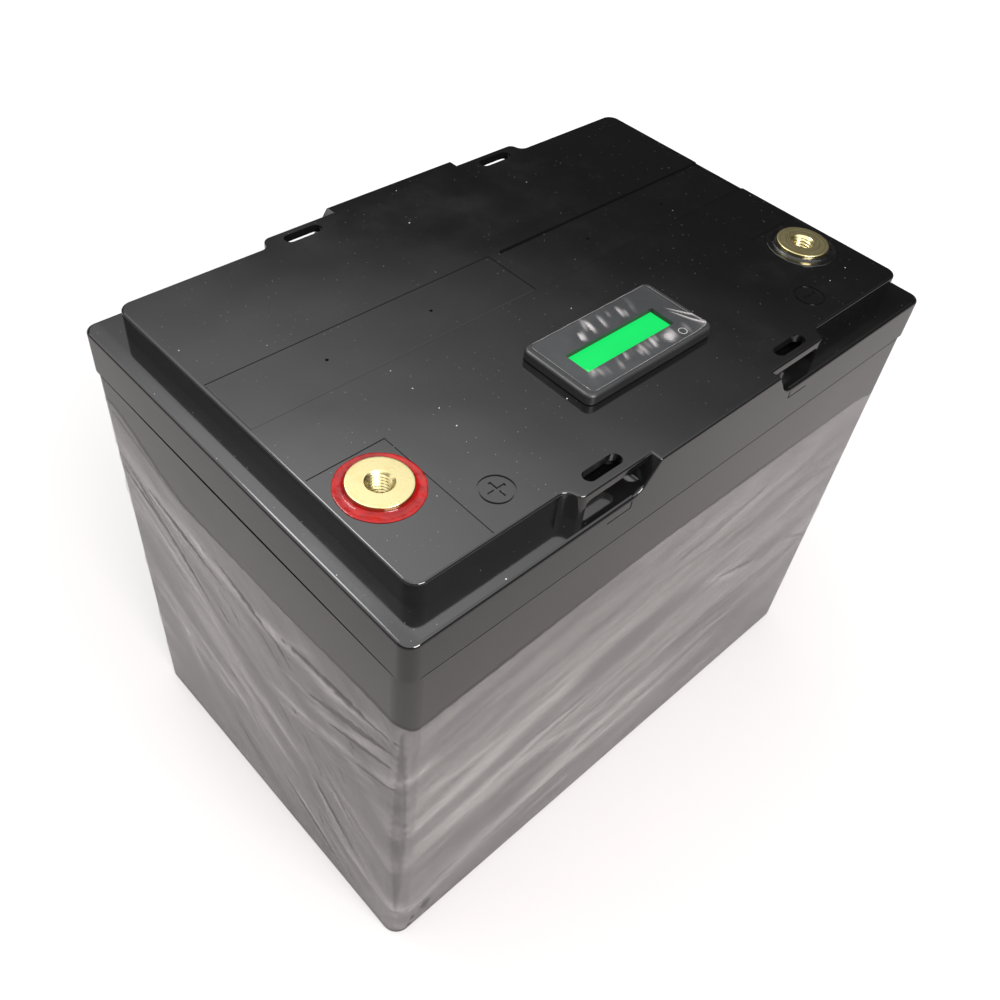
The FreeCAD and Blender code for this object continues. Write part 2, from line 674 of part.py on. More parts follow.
def base_board():
    hx = LENGTH / 2 - CASE_INSET - CASE_WALL - 1.0
    hy = WIDTH / 2 - CASE_INSET - CASE_WALL - 1.0
    return rounded(hx, hy, CASE_FLOOR + 0.1, CELL_BOTTOM - 0.1, 3.0)


def busbar(first, last, side, tab=0.0):
    """Copper bar over the studs of some cells, with a bolt hole in its tab when it has one."""
    y = side * STUD_Y
    x0, x1 = CELL_X[first] - 9.0, CELL_X[last] + 9.0
    bar = block(x0, x1, y - 8.0, y + 8.0, BAR_BOTTOM, BAR_TOP)
    bar = bar.makeFillet(1.5, [e for e in bar.Edges if e.BoundBox.ZLength > 1])
    for x in CELL_X[first:last + 1]:
        bar = bar.cut(pillar(x, y, BAR_BOTTOM - 1, BAR_TOP + 1, 3.2))
    if tab:
        bar = bar.cut(pillar(tab, y, BAR_BOTTOM - 1, BAR_TOP + 1, 2.6))
    return bar


def cell_nuts():
    return group([hexagon(x, y, BAR_TOP, BAR_TOP + NUT_THICK, 10.0, 3.05)
                  for x in CELL_X for y in (-STUD_Y, STUD_Y)])


# ---------------------------------------------------------------- electronics and leads
def deck_board():
    board = rounded(DECK[0], DECK[1], DECK_BOTTOM, DECK_BOTTOM + DECK_THICK, 3.0)
    for x, y in deck_posts():
        board = board.cut(pillar(x, y, DECK_BOTTOM - 1, DECK_BOTTOM + 3, 1.6))
    return board


def deck_posts():
    return [(sx * 54.4, sy * 28.0) for sx in (-1, 1) for sy in (-1, 1)]


def deck_spacers():
    return group([tube(x, y, CELL_TOP + 0.1, DECK_BOTTOM, 4.0, 1.4) for x, y in deck_posts()])


def deck_screws():
    top = DECK_BOTTOM + DECK_THICK
    return group([pillar(x, y, top, top + 2.0, 2.8).fuse(pillar(x, y, top - 8.0, top, 1.4))
                  for x, y in deck_posts()])


SINK_BOTTOM = DECK_BOTTOM + DECK_THICK + 2.2
SINK_TOP = SINK_BOTTOM + SINK[2]
BMS_BOTTOM = SINK_TOP + BMS_GAP
BMS_TOP = BMS_BOTTOM + BMS[2]


def bms_posts():
    cx, cy = SINK_CENTRE
    return [(cx + sx * 49.0, cy + sy * 31.0) for sx in (-1, 1) for sy in (-1, 1)]


def bms_heatsink():
    plate = slab(SINK, SINK_CENTRE, SINK_BOTTOM, SINK_TOP)
    return plate.makeFillet(3.0, [e for e in plate.Edges if e.BoundBox.ZLength > 1])


def heatsink_feet():
    cx, cy = SINK_CENTRE
    low = DECK_BOTTOM + DECK_THICK
    return group([slab((10.0, 10.0), (cx + sx * 46.0, cy + sy * 20.0), low, SINK_BOTTOM)
                  for sx in (-1, 1) for sy in (-1, 1)])


def bms_standoffs():
    return group([hexagon(x, y, SINK_TOP, BMS_BOTTOM, 6.0, 1.3) for x, y in bms_posts()])


def bms_screws():
    return group([pillar(x, y, BMS_TOP, BMS_TOP + 1.8, 2.6).fuse(pillar(x, y, BMS_BOTTOM - 3, BMS_TOP, 1.3))
                  for x, y in bms_posts()])


def bms_board():
    board = slab(BMS, SINK_CENTRE, BMS_BOTTOM, BMS_TOP)
    for x, y in bms_posts():
        board = board.cut(pillar(x, y, BMS_BOTTOM - 1, BMS_TOP + 1, 1.6))
    return board


def bms_transistors():
    cx, cy = SINK_CENTRE
    return group([slab((9.0, 10.0), (cx - 40.0 + 11.4 * i, cy + row), SINK_TOP, BMS_BOTTOM)
                  for i in range(8) for row in (-12.0, 6.0)])


def bms_shunts():
    cx, cy = SINK_CENTRE
    return group([slab((6.0, 12.0), (cx + 8.0 * i, cy + 18.0), BMS_TOP, BMS_TOP + 2.0)
                  for i in (-2, -1, 0, 1, 2)])


def bms_socket():
    """Sense plug at the rear of the protection board."""
    cx, cy = SINK_CENTRE
    return slab((18.0, 7.0), (cx - 20.0, cy + 30.0), BMS_TOP, BMS_TOP + 6.0)


BAR_LUG_X = (CELL_X[-1] + CELL_X[-2]) / 2
BAR_LUGS = [(-BAR_LUG_X, -STUD_Y, BAR_TOP), (BAR_LUG_X, -STUD_Y, BAR_TOP)]
BMS_IN = (-30.0, -4.0, BMS_TOP)
BMS_OUT = (38.0, 14.0, BMS_TOP)
BARREL_LENGTH = 14.0
CRIMP = 11.0              # from the lug's hole to the end of the lead inside the barrel
STRAIGHT = 20.0           # each lead leaves its barrel straight


def ring_lug(place, turn=0.0, hung=False):
    """Crimped ring lug at its hole's centre. Its barrel runs to +Y, turned about Z, above the
    plate or, when the lug hangs from a terminal, below it."""
    wide, thick = LUG_PLATE
    high = LEAD_RADIUS + 1.2
    plate = block(-wide / 2, wide / 2, -7.0, 8.0, 0, thick).cut(pillar(0, 0, -1, thick + 1, 2.6))
    barrel = Part.makeCylinder(LEAD_RADIUS + 1.2, BARREL_LENGTH, V(0, 7.0, high), V(0, 1, 0))
    bore = Part.makeCylinder(LEAD_RADIUS, BARREL_LENGTH, V(0, CRIMP, high), V(0, 1, 0))
    lug = plate.fuse(barrel).cut(bore).removeSplitter()
    if hung:
        lug = lug.mirror(V(0, 0, 0), UP)
    lug.rotate(V(0, 0, 0), UP, turn)
    lug.translate(V(*place))
    return lug


def lug_end(place, turn=0.0, hung=False):
    """Where the lead ends inside a lug's barrel, and the point where its straight start ends."""
    rise = LEAD_RADIUS + 1.2
    way = V(-math.sin(math.radians(turn)), math.cos(math.radians(turn)), 0)
    end = V(*place) + way * CRIMP + V(0, 0, -rise if hung else rise)
    return end, end + way * STRAIGHT


def terminal_foot(side):
    """Centre of a terminal's underside."""
    return (side * TERMINAL_X, TERMINAL_Y, SHANK_BOTTOM)


def ring_lugs():
    flat = [ring_lug(place) for place in BAR_LUGS]
    board = [ring_lug(BMS_IN, 180.0), ring_lug(BMS_OUT, -90.0)]
    return group(flat + board + [ring_lug(terminal_foot(side), 0.0, True) for side in (-1, 1)])


def lug_bolts():
    """Bolts through the lugs, from above on the bars and the board, from below on the terminals."""
    thick = LUG_PLATE[1]
    bolts = []
    for place, depth in [(p, BAR_THICK + 1.2) for p in BAR_LUGS] + [(BMS_IN, 0.0), (BMS_OUT, 0.0)]:
        x, y, z = place
        head = hexagon(x, y, z + thick, z + thick + 3.0, 8.0, 0)
        bolts.append(head.fuse(pillar(x, y, z - depth, z + thick, 2.4)))
    for side in (-1, 1):
        x, y, z = terminal_foot(side)
        head = hexagon(x, y, z - thick - 3.0, z - thick, 8.0, 0)
        bolts.append(head.fuse(pillar(x, y, z - thick, THREAD_BOTTOM - 1.0, 2.0)))
    return group(bolts)


def positive_lead():
    start, first = lug_end(BAR_LUGS[0])
    end, last = lug_end(terminal_foot(-1), hung=True)
    return lead([start, first, first + V(-8, 18, 14), last + V(2, 16, -16), last, end], LEAD_RADIUS)


def negative_lead():
    """From the protection board's output to the negative terminal."""
    start, first = lug_end(BMS_OUT, -90.0)
    end, last = lug_end(terminal_foot(1), hung=True)
    return lead([start, first, first + V(18, -2, 5), last + V(1, 14, -8), last, end], LEAD_RADIUS)


def pack_negative_lead():
    """From the pack's negative bar up to the protection board's input."""
    start, first = lug_end(BAR_LUGS[1])
    end, last = lug_end(BMS_IN, 180.0)
    return lead([start, first, V(93, -2, 152), V(90, -26, 168), V(60, -50, 176), V(26, -57, 180),
                 V(-10, -58, 174), last + V(2, -9, 2), last, end], LEAD_RADIUS)


def sense_wires():
    """Thin wires from the board's plug to the bars."""
    cx, cy = SINK_CENTRE
    wires = []
    targets = [(CELL_X[1], STUD_Y + 10.5), (CELL_X[3] + 13.6, STUD_Y + 10.5), (CELL_X[6], STUD_Y + 10.5)]
    for i, (x, y) in enumerate(targets):
        start = V(cx - 24.0 + 4.0 * i, cy + 33.9, BMS_TOP + 3.0)
        side = V(x, y + 6.0, BMS_TOP + 3.0)
        drop = V(x, y + 6.0, BAR_TOP + 2.0)
        out = start + V(0, 4.0 + 2.5 * i, 2.0 * i)
        foot = V(x, y - 2.3, BAR_TOP + 0.8)
        wires.append(lead([start, out, side + V(0, 0, 2.0 * i), drop, foot], WIRE_RADIUS))
    return group(wires)


def display_wires():
    """Two thin wires from the display's plug to the protection board."""
    x, y = DISPLAY[0] - 10.0, DISPLAY[1]
    top = BOARD_TOP - BOARD_THICK - 4.5
    wires = []
    for side in (-1, 1):
        start = V(x + side * 1.5, y, top)
        end = V(side * 1.5 + 6.0, SINK_CENTRE[1] + 5.0, BMS_TOP)
        wires.append(lead([start, start + V(0, 0, -10), end + V(-8, -18, 26), end + V(0, 0, 14), end],
                          WIRE_RADIUS))
    return group(wires)


def parts():
    nodes = {
        "case": case(),
        "lid": lid(),
        "lid_seal": lid_seal(),
        "vent_cover_left": vent_cover_left(),
        "vent_cover_right": vent_cover_right(),
        "wrap_film": wrap_film(),
        "positive_terminal": terminal(-TERMINAL_X),
        "negative_terminal": terminal(TERMINAL_X),
        "positive_seal_ring": seal_ring(-TERMINAL_X),
        "negative_seal_ring": seal_ring(TERMINAL_X),
        "terminal_o_rings": o_rings(),
        "display_bezel": display_bezel(),
        "display_gasket": display_gasket(),
        "display_overlay": display_overlay(),
        "display_lcd": display_lcd(),
        "display_backlight": display_backlight(),
        "display_board": display_board(),
        "display_board_screws": board_screws(),
        "display_key": display_key(),
        "display_key_switch": key_switch(),
        "display_film": display_film(),
        "display_plug": display_plug(),
        "display_wires": display_wires(),
        "base_board": base_board(),
        "cell_separators": cell_separators(),
        "end_plate_left": end_plate(-1),
        "end_plate_right": end_plate(1),
        "side_boards": side_boards(),
        "pack_straps": pack_straps(),
        "positive_busbar": busbar(0, 1, -1, -abs(BAR_LUG_X)),
        "series_busbar_1": busbar(0, 3, 1),
        "series_busbar_2": busbar(2, 5, -1),
        "series_busbar_3": busbar(4, 7, 1),
        "negative_busbar": busbar(6, 7, -1, abs(BAR_LUG_X)),
        "cell_nuts": cell_nuts(),
        "deck_board": deck_board(),
        "deck_spacers": deck_spacers(),
        "deck_screws": deck_screws(),
        "bms_heatsink": bms_heatsink(),
        "bms_heatsink_feet": heatsink_feet(),
        "bms_transistors": bms_transistors(),
        "bms_standoffs": bms_standoffs(),
        "bms_board": bms_board(),
        "bms_screws": bms_screws(),
        "bms_shunts": bms_shunts(),
        "bms_plug": bms_socket(),
        "ring_lugs": ring_lugs(),
        "lug_bolts": lug_bolts(),
        "positive_lead": positive_lead(),
        "negative_lead": negative_lead(),
        "pack_negative_lead": pack_negative_lead(),
        "sense_wires": sense_wires(),
    }
    for i, x in enumerate(CELL_X):
        nodes[f"cell_{i + 1}"] = cell(x)
    return nodes


os.makedirs("parts", exist_ok=True)
for node, shape in parts().items():
    print(node, "solids", len(shape.Solids), "valid", shape.isValid(), "volume", round(shape.Volume, 1))
    shape.exportStep(f"parts/{node}.step")
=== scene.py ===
import math
import random

import bpy
import numpy as np
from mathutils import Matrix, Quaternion, Vector


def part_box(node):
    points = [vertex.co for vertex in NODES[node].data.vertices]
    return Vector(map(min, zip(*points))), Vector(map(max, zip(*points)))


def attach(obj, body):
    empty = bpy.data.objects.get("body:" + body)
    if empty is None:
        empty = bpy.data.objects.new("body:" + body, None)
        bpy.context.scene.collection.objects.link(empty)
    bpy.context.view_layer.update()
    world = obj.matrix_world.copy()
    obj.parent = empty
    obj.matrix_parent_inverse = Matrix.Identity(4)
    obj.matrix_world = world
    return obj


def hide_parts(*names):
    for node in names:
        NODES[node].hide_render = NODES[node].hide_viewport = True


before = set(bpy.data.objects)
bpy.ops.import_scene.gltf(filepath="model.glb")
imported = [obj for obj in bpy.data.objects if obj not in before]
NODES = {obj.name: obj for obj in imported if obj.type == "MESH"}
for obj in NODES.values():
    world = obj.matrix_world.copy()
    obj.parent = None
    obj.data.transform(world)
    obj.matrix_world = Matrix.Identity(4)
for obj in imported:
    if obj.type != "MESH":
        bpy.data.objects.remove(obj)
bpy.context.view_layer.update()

MM = 0.001
SEED = 7

# ---------------------------------------------------------------- camera, floor and light
EYE = Vector((-0.22982, -0.19540, 0.42078))
TARGET = Vector((-0.01580, -0.00929, 0.120))
ROLL = math.radians(7.754)
LENS = 36.526
SENSOR = 36.0
# the world's brightness against the height of the direction looked in, 0 level and 1 overhead
SKY_LEVELS = [(0.0, 0.05), (0.49, 0.004), (0.53, 0.012), (0.56, 0.06), (0.60, 0.13), (0.66, 0.20),
              (0.70, 0.32), (0.74, 0.38), (0.80, 0.40), (0.86, 0.30), (1.0, 0.30)]
SKY_SIDE = (0.38, 0.75, 1.7, 0.32)    # from X 0.38 to 0.75 the brightness falls from 1.7 to 0.32 times
SKY_STRENGTH = 4.6
BACKDROP = 0.93
# name, place, aim, size, watts and colour
LIGHTS = (
    ("rear_softbox", (-0.15, 0.55, 1.15), (0, 0, 0.2), (0.5, 0.25), 5, (1.0, 1.0, 1.0)),
    ("back_left_softbox", (-0.91, 0.74, 0.73), (-0.12, 0, 0.2), (0.8, 0.4), 2.5, (1.0, 0.98, 1.0)),
    ("front_softbox", (-0.15, -0.80, 0.70), (-0.05, -0.12, 0.05), (0.5, 0.3), 14, (1.0, 0.96, 0.95)),
)


def make_camera():
    data = bpy.data.cameras.new("camera")
    data.lens = LENS
    data.sensor_width = SENSOR
    data.clip_start = 0.01
    camera = bpy.data.objects.new("camera", data)
    camera.location = EYE
    camera.rotation_mode = "QUATERNION"
    aim = (TARGET - EYE).to_track_quat("-Z", "Y")
    camera.rotation_quaternion = aim @ Quaternion((0, 0, 1), ROLL)
    bpy.context.scene.collection.objects.link(camera)
    bpy.context.scene.camera = camera


def area_light(name, place, aim, size, power, colour):
    data = bpy.data.lights.new(name, "AREA")
    data.shape = "RECTANGLE"
    data.size, data.size_y = size
    data.energy = power
    data.color = colour
    light = bpy.data.objects.new(name, data)
    light.location = place
    light.rotation_mode = "QUATERNION"
    light.rotation_quaternion = (Vector(aim) - Vector(place)).to_track_quat("-Z", "Y")
    bpy.context.scene.collection.objects.link(light)


def sky_colour(tree):
    """Grey by direction: bright overhead, dark about 30 degrees up, and dimmer to the right, so that
    the reflection in the lid falls off with distance."""
    place = tree.nodes.new("ShaderNodeTexCoord")
    split = tree.nodes.new("ShaderNodeSeparateXYZ")
    tree.links.new(place.outputs["Generated"], split.inputs[0])
    ramp = tree.nodes.new("ShaderNodeValToRGB")
    tree.links.new(split.outputs["Z"], ramp.inputs[0])
    ramp.color_ramp.interpolation = "LINEAR"
    elements = ramp.color_ramp.elements
    while len(elements) < len(SKY_LEVELS):
        elements.new(0.5)
    for element, (at, level) in zip(elements, SKY_LEVELS):
        element.position = at
        element.color = (level, level, level * 1.01, 1)
    side = tree.nodes.new("ShaderNodeMapRange")
    tree.links.new(split.outputs["X"], side.inputs[0])
    for i, number in enumerate(SKY_SIDE):
        side.inputs[i + 1].default_value = number
    shaded = tree.nodes.new("ShaderNodeVectorMath")
    shaded.operation = "SCALE"
    tree.links.new(ramp.outputs[0], shaded.inputs[0])
    tree.links.new(side.outputs[0], shaded.inputs["Scale"])
    return shaded.outputs[0]


def make_world():
    """The sky lights the object, and the camera sees an even, nearly white backdrop behind it."""
    world = bpy.data.worlds.new("studio")
    bpy.context.scene.world = world
    world.use_nodes = True
    tree = world.node_tree
    tree.nodes.clear()
    sky = tree.nodes.new("ShaderNodeBackground")
    tree.links.new(sky_colour(tree), sky.inputs["Color"])
    sky.inputs["Strength"].default_value = SKY_STRENGTH
    wall = tree.nodes.new("ShaderNodeBackground")
    wall.inputs["Color"].default_value = (BACKDROP, BACKDROP, BACKDROP, 1)
    wall.inputs["Strength"].default_value = 1.0
    path = tree.nodes.new("ShaderNodeLightPath")
    mix = tree.nodes.new("ShaderNodeMixShader")
    tree.links.new(path.outputs["Is Camera Ray"], mix.inputs[0])
    tree.links.new(sky.outputs[0], mix.inputs[1])
    tree.links.new(wall.outputs[0], mix.inputs[2])
    out = tree.nodes.new("ShaderNodeOutputWorld")
    tree.links.new(mix.outputs[0], out.inputs[0])


make_camera()
make_world()
for light in LIGHTS:
    area_light(*light)


# ---------------------------------------------------------------- material helpers
class Shade:
    """A material with one Principled shader, and short ways to add nodes to it."""

    def __init__(self, name, colour=(0.5, 0.5, 0.5), rough=0.5, metal=0.0, **sockets):
        self.mat = bpy.data.materials.new(name)
        self.mat.use_nodes = True
        self.tree = self.mat.node_tree
        self.tree.nodes.clear()
        self.out = self.add("ShaderNodeOutputMaterial")
        self.bsdf = self.add("ShaderNodeBsdfPrincipled")
        self.link(self.bsdf.outputs[0], self.out.inputs["Surface"])
        self.put("Base Color", (*colour, 1.0))
        self.put("Roughness", rough)
        self.put("Metallic", metal)
        for socket, value in sockets.items():
            self.put(socket.replace("_", " "), value)
        self.place = self.add("ShaderNodeTexCoord").outputs["Object"]

    def add(self, kind, **props):
        node = self.tree.nodes.new(kind)
        for key, value in props.items():
            setattr(node, key, value)
        return node

    def link(self, source, target):
        self.tree.links.new(source, target)

    def feed(self, target, value):
        if isinstance(value, bpy.types.NodeSocket):
            self.link(value, target)
        else:
            target.default_value = value

    def put(self, socket, value):
        self.feed(self.bsdf.inputs[socket], value)

    def math(self, operation, a, b=0.0):
        node = self.add("ShaderNodeMath", operation=operation)
        self.feed(node.inputs[0], a)
        self.feed(node.inputs[1], b)
        return node.outputs[0]

    def stretched(self, scale):
        node = self.add("ShaderNodeMapping")
        self.link(self.place, node.inputs["Vector"])
        node.inputs["Scale"].default_value = scale
        return node.outputs[0]

    def noise(self, scale, detail=3.0, rough=0.5, vector=None):
        node = self.add("ShaderNodeTexNoise")
        self.link(vector or self.place, node.inputs["Vector"])
        node.inputs["Scale"].default_value = scale
        node.inputs["Detail"].default_value = detail
        node.inputs["Roughness"].default_value = rough
        return node.outputs[0]

    def span(self, value, low, high, to_low=0.0, to_high=1.0):
        """Smooth step from to_low to to_high as the value goes from low to high."""
        node = self.add("ShaderNodeMapRange", interpolation_type="SMOOTHSTEP")
        self.feed(node.inputs[0], value)
        for i, number in enumerate((low, high, to_low, to_high)):
            node.inputs[i + 1].default_value = number
        return node.outputs[0]

    def blend(self, factor, a, b):
        node = self.add("ShaderNodeMix", data_type="RGBA")
        self.feed(node.inputs[0], factor)
        self.feed(node.inputs[6], a)
        self.feed(node.inputs[7], b)
        return node.outputs[2]

    def bump(self, height, distance, strength, under=None):
        node = self.add("ShaderNodeBump")
        self.link(height, node.inputs["Height"])
        node.inputs["Distance"].default_value = distance
        node.inputs["Strength"].default_value = strength
        if under is not None:
            self.link(under, node.inputs["Normal"])
        return node.outputs[0]

    def specks(self, scale, radius, share):
        """Small round specks on faces that look up: 1 inside a speck."""
        cells = self.add("ShaderNodeTexVoronoi", voronoi_dimensions="2D")
        self.link(self.place, cells.inputs["Vector"])
        cells.inputs["Scale"].default_value = scale
        pick = self.add("ShaderNodeSeparateColor")
        self.link(cells.outputs["Color"], pick.inputs[0])
        size = self.math("MULTIPLY", pick.outputs[1], radius * scale)
        inside = self.math("LESS_THAN", cells.outputs["Distance"], size)
        chosen = self.math("LESS_THAN", pick.outputs[0], share)
        upward = self.add("ShaderNodeSeparateXYZ")
        self.link(self.add("ShaderNodeNewGeometry").outputs["Normal"], upward.inputs[0])
        flat = self.math("GREATER_THAN", upward.outputs["Z"], 0.9)
        return self.math("MULTIPLY", self.math("MULTIPLY", inside, chosen), flat)


def rgb(*values):
    return (*values, 1.0)


DUST = (0.32, 0.32, 0.31)
SPECK_LARGE = (85.0, 0.28 * MM, 0.12)      # cells to the metre, largest radius, share of cells
SPECK_SMALL = (330.0, 0.13 * MM, 0.22)
FLANGE_END = 6 * MM
FLANGE_DROP = 0.3 * MM


def glossy_moulding(name, colour, rough, dust, rim=None, ior=1.54):
    """Black glossy moulded plastic: a faint ripple in its skin, smudges, and dust on top. Where a
    rim is given, the last few millimetres before X = rim and X = -rim are shaded as if they droop."""
    s = Shade(name, colour, rough, IOR=ior)
    smudge = s.noise(22.0, 4.0, 0.6)
    fine = s.noise(420.0, 2.0, 0.5)
    s.put("Roughness", s.math("ADD", s.span(smudge, 0.42, 0.75, rough, rough + 0.10),
                              s.math("MULTIPLY", fine, 0.03)))
    ripple = s.noise(14.0, 2.0, 0.45)
    skin = s.bump(ripple, 0.0009, 0.5)
    if rim:
        split = s.add("ShaderNodeSeparateXYZ")
        s.link(s.place, split.inputs[0])
        reach = s.math("ABSOLUTE", split.outputs["X"])
        droop = s.span(reach, rim - FLANGE_END, rim + 0.5 * MM, 1.0, 0.0)
        skin = s.bump(droop, FLANGE_DROP, 1.0, skin)
    s.put("Normal", s.bump(s.noise(900.0, 2.0, 0.6), 0.00002, 0.25, skin))
    film = s.span(s.noise(60.0, 5.0, 0.65), 0.5, 0.9, 0.0, 0.35)
    dusty = s.blend(film, rgb(*colour), rgb(*(c * 1.8 + 0.004 for c in colour)))
    if dust:
        large = s.specks(*SPECK_LARGE)
        small = s.specks(*SPECK_SMALL)
        dusty = s.blend(s.math("MAXIMUM", large, s.math("MULTIPLY", small, 0.5)), dusty, rgb(*DUST))
    s.put("Base Color", dusty)
    return s.mat


SPARK_GRAIN = 900.0
SPARK_DEPTH = 0.00003
LATHE_MARKS = 2600.0
ROLLED_STREAKS = 500.0


def satin_plastic(name, colour, rough):
    """Moulded plastic with a fine spark-eroded texture."""
    s = Shade(name, colour, rough, IOR=1.5)
    s.put("Normal", s.bump(s.noise(SPARK_GRAIN, 3.0, 0.6), SPARK_DEPTH, 0.6))
    s.put("Roughness", s.span(s.noise(35.0, 3.0), 0.3, 0.7, rough - 0.06, rough + 0.08))
    shade = s.span(s.noise(18.0, 4.0, 0.6), 0.3, 0.8)
    s.put("Base Color", s.blend(shade, rgb(*colour), rgb(*(c * 1.35 + 0.002 for c in colour))))
    return s.mat


def turned_metal(name, colour, rough, centre):
    """Metal with the fine rings that a lathe leaves about a centre, and small knocks."""
    s = Shade(name, colour, rough, 1.0)
    local = s.add("ShaderNodeVectorMath", operation="SUBTRACT")
    s.link(s.place, local.inputs[0])
    local.inputs[1].default_value = (centre[0], centre[1], 0)
    flat = s.add("ShaderNodeVectorMath", operation="MULTIPLY")
    s.link(local.outputs[0], flat.inputs[0])
    flat.inputs[1].default_value = (1, 1, 0)
    radius = s.add("ShaderNodeVectorMath", operation="LENGTH")
    s.link(flat.outputs[0], radius.inputs[0])
    ring = s.add("ShaderNodeTexNoise", noise_dimensions="1D")
    s.link(radius.outputs["Value"], ring.inputs["W"])
    ring.inputs["Scale"].default_value = LATHE_MARKS
    ring.inputs["Detail"].default_value = 3.0
    knocks = s.noise(700.0, 2.0, 0.6)
    lathe = s.bump(ring.outputs[0], 0.000005, 0.2)
    s.put("Normal", s.bump(s.span(knocks, 0.62, 0.75), 0.00005, 0.3, lathe))
    s.put("Roughness", s.span(ring.outputs[0], 0.3, 0.7, rough - 0.03, rough + 0.05))
    stain = s.span(s.noise(160.0, 4.0, 0.6), 0.45, 0.8)
    dull = rgb(colour[0] * 0.86, colour[1] * 0.78, colour[2] * 0.6)
    s.put("Base Color", s.blend(stain, rgb(*colour), dull))
    return s.mat


def plain_metal(name, colour, rough, stretch=(1, 1, 1)):
    """Metal with brushed or rolled streaks."""
    s = Shade(name, colour, rough, 1.0)
    streaks = s.noise(ROLLED_STREAKS, 3.0, 0.6, s.stretched(stretch))
    s.put("Roughness", s.span(streaks, 0.3, 0.7, rough - 0.06, rough + 0.1))
    s.put("Normal", s.bump(streaks, 0.00002, 0.4))
    tone = s.span(s.noise(40.0, 3.0), 0.35, 0.75)
    s.put("Base Color", s.blend(tone, rgb(*colour), rgb(*(c * 0.8 for c in colour))))
    return s.mat


def cast_resin(name, colour, deep, shine):
    """Resin poured round a terminal: wet gloss, a little uneven, darker where it is thick."""
    s = Shade(name, colour, 0.08, IOR=1.5, Specular_IOR_Level=shine)
    depth = s.span(s.noise(260.0, 3.0, 0.55), 0.35, 0.7)
    s.put("Base Color", s.blend(depth, rgb(*colour), rgb(*deep)))
    s.put("Normal", s.bump(s.noise(330.0, 2.0, 0.5), 0.00030, 0.6))
    return s.mat


WEAVE = 220.0


def laminate(name, colour, rough=0.5):
    """Woven glass and epoxy sheet."""
    s = Shade(name, colour, rough)
    bands = []
    for direction in "XY":
        wave = s.add("ShaderNodeTexWave", wave_type="BANDS", bands_direction=direction)
        s.link(s.place, wave.inputs["Vector"])
        wave.inputs["Scale"].default_value = WEAVE
        bands.append(wave.outputs["Fac"])
    cloth = s.math("MAXIMUM", *bands)
    threads = rgb(*(c * 0.7 for c in colour))
    s.put("Base Color", s.blend(s.math("MULTIPLY", cloth, 0.35), rgb(*colour), threads))
    s.put("Normal", s.bump(cloth, 0.00003, 0.4))
    return s.mat


def soft_cover(name, colour, rough=0.55):
    """Silicone or rubber skin."""
    s = Shade(name, colour, rough)
    s.put("Roughness", s.span(s.noise(300.0, 3.0), 0.3, 0.7, rough - 0.1, rough + 0.1))
    s.put("Normal", s.bump(s.noise(1200.0, 2.0), 0.00002, 0.5))
    s.put("Base Color", s.blend(s.span(s.noise(80.0, 3.0), 0.4, 0.8), rgb(*colour),
                                rgb(*(c * 1.3 + 0.004 for c in colour))))
    return s.mat


FILM_TINT = (0.80, 0.765, 0.755)
STREAK_STRETCH = 0.16          # along a streak, against across it


def clear_film(name, clear, hazy, rough):
    """Thin clear film: it shows what is behind where it clings, and goes milky where it lifts.
    Its streaks follow the sheet's attributes along and across, in metres, and the attribute whole
    makes its tears fully clear."""
    s = Shade(name, FILM_TINT, rough, IOR=1.5, Coat_Weight=0.3, Coat_Roughness=0.05)
    lift, whole, along, across = (s.add("ShaderNodeAttribute", attribute_name=layer).outputs["Fac"]
                                  for layer in ("lift", "whole", "along", "across"))
    way = s.add("ShaderNodeCombineXYZ")
    s.link(s.math("MULTIPLY", along, STREAK_STRETCH), way.inputs[0])
    s.link(across, way.inputs[1])
    streaks = s.noise(85.0, 2.5, 0.5, way.outputs[0])
    fine = s.noise(500.0, 3.0, 0.6, way.outputs[0])
    haze = s.math("MULTIPLY", lift, s.span(streaks, 0.34, 0.66, 0.74, 1.0))
    haze = s.math("MULTIPLY", haze, s.span(fine, 0.3, 0.7, 0.9, 1.05))
    s.put("Alpha", s.math("MULTIPLY", s.span(haze, 0.0, 1.0, clear, hazy), whole))
    s.put("Normal", s.bump(fine, 0.00002, 0.3, s.bump(streaks, 0.0004, 0.4)))
    return s.mat


def lit_screen(name):
    """Back-lit liquid crystal: green light that is a little uneven."""
    s = Shade(name, (0.0, 0.03, 0.005), 0.12, IOR=1.5, Specular_IOR_Level=0.1)
    glow = s.span(s.noise(30.0, 2.0), 0.3, 0.7)
    s.put("Emission Color", s.blend(glow, rgb(0.0004, 0.80, 0.14), rgb(0.0004, 0.88, 0.16)))
    s.put("Emission Strength", 0.92)
    return s.mat


RING_MARK = 1.5 * MM
RING_MARK_LINE = 0.14 * MM     # half the line's width


def printed_sheet(name, symbol):
    """Dark printed sheet with one plain ring printed beside the key."""
    s = Shade(name, (0.014, 0.015, 0.016), 0.3)
    away = s.add("ShaderNodeVectorMath", operation="DISTANCE")
    s.link(s.place, away.inputs[0])
    away.inputs[1].default_value = symbol
    off = s.math("ABSOLUTE", s.math("SUBTRACT", away.outputs["Value"], RING_MARK))
    ring = s.math("LESS_THAN", off, RING_MARK_LINE)
    tone = s.span(s.noise(50.0, 4.0, 0.6), 0.3, 0.8)
    sheet = s.blend(tone, rgb(0.012, 0.013, 0.014), rgb(0.024, 0.026, 0.027))
    s.put("Base Color", s.blend(ring, sheet, rgb(0.25, 0.25, 0.25)))
    s.put("Normal", s.bump(s.noise(1500.0, 2.0), 0.00001, 0.5))
    return s.mat


# ---------------------------------------------------------------- materials on the CAD nodes
def dress(node, mat):
    data = NODES[node].data
    data.materials.clear()
    data.materials.append(mat)


def middle(node):
    low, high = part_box(node)
    return (low + high) / 2


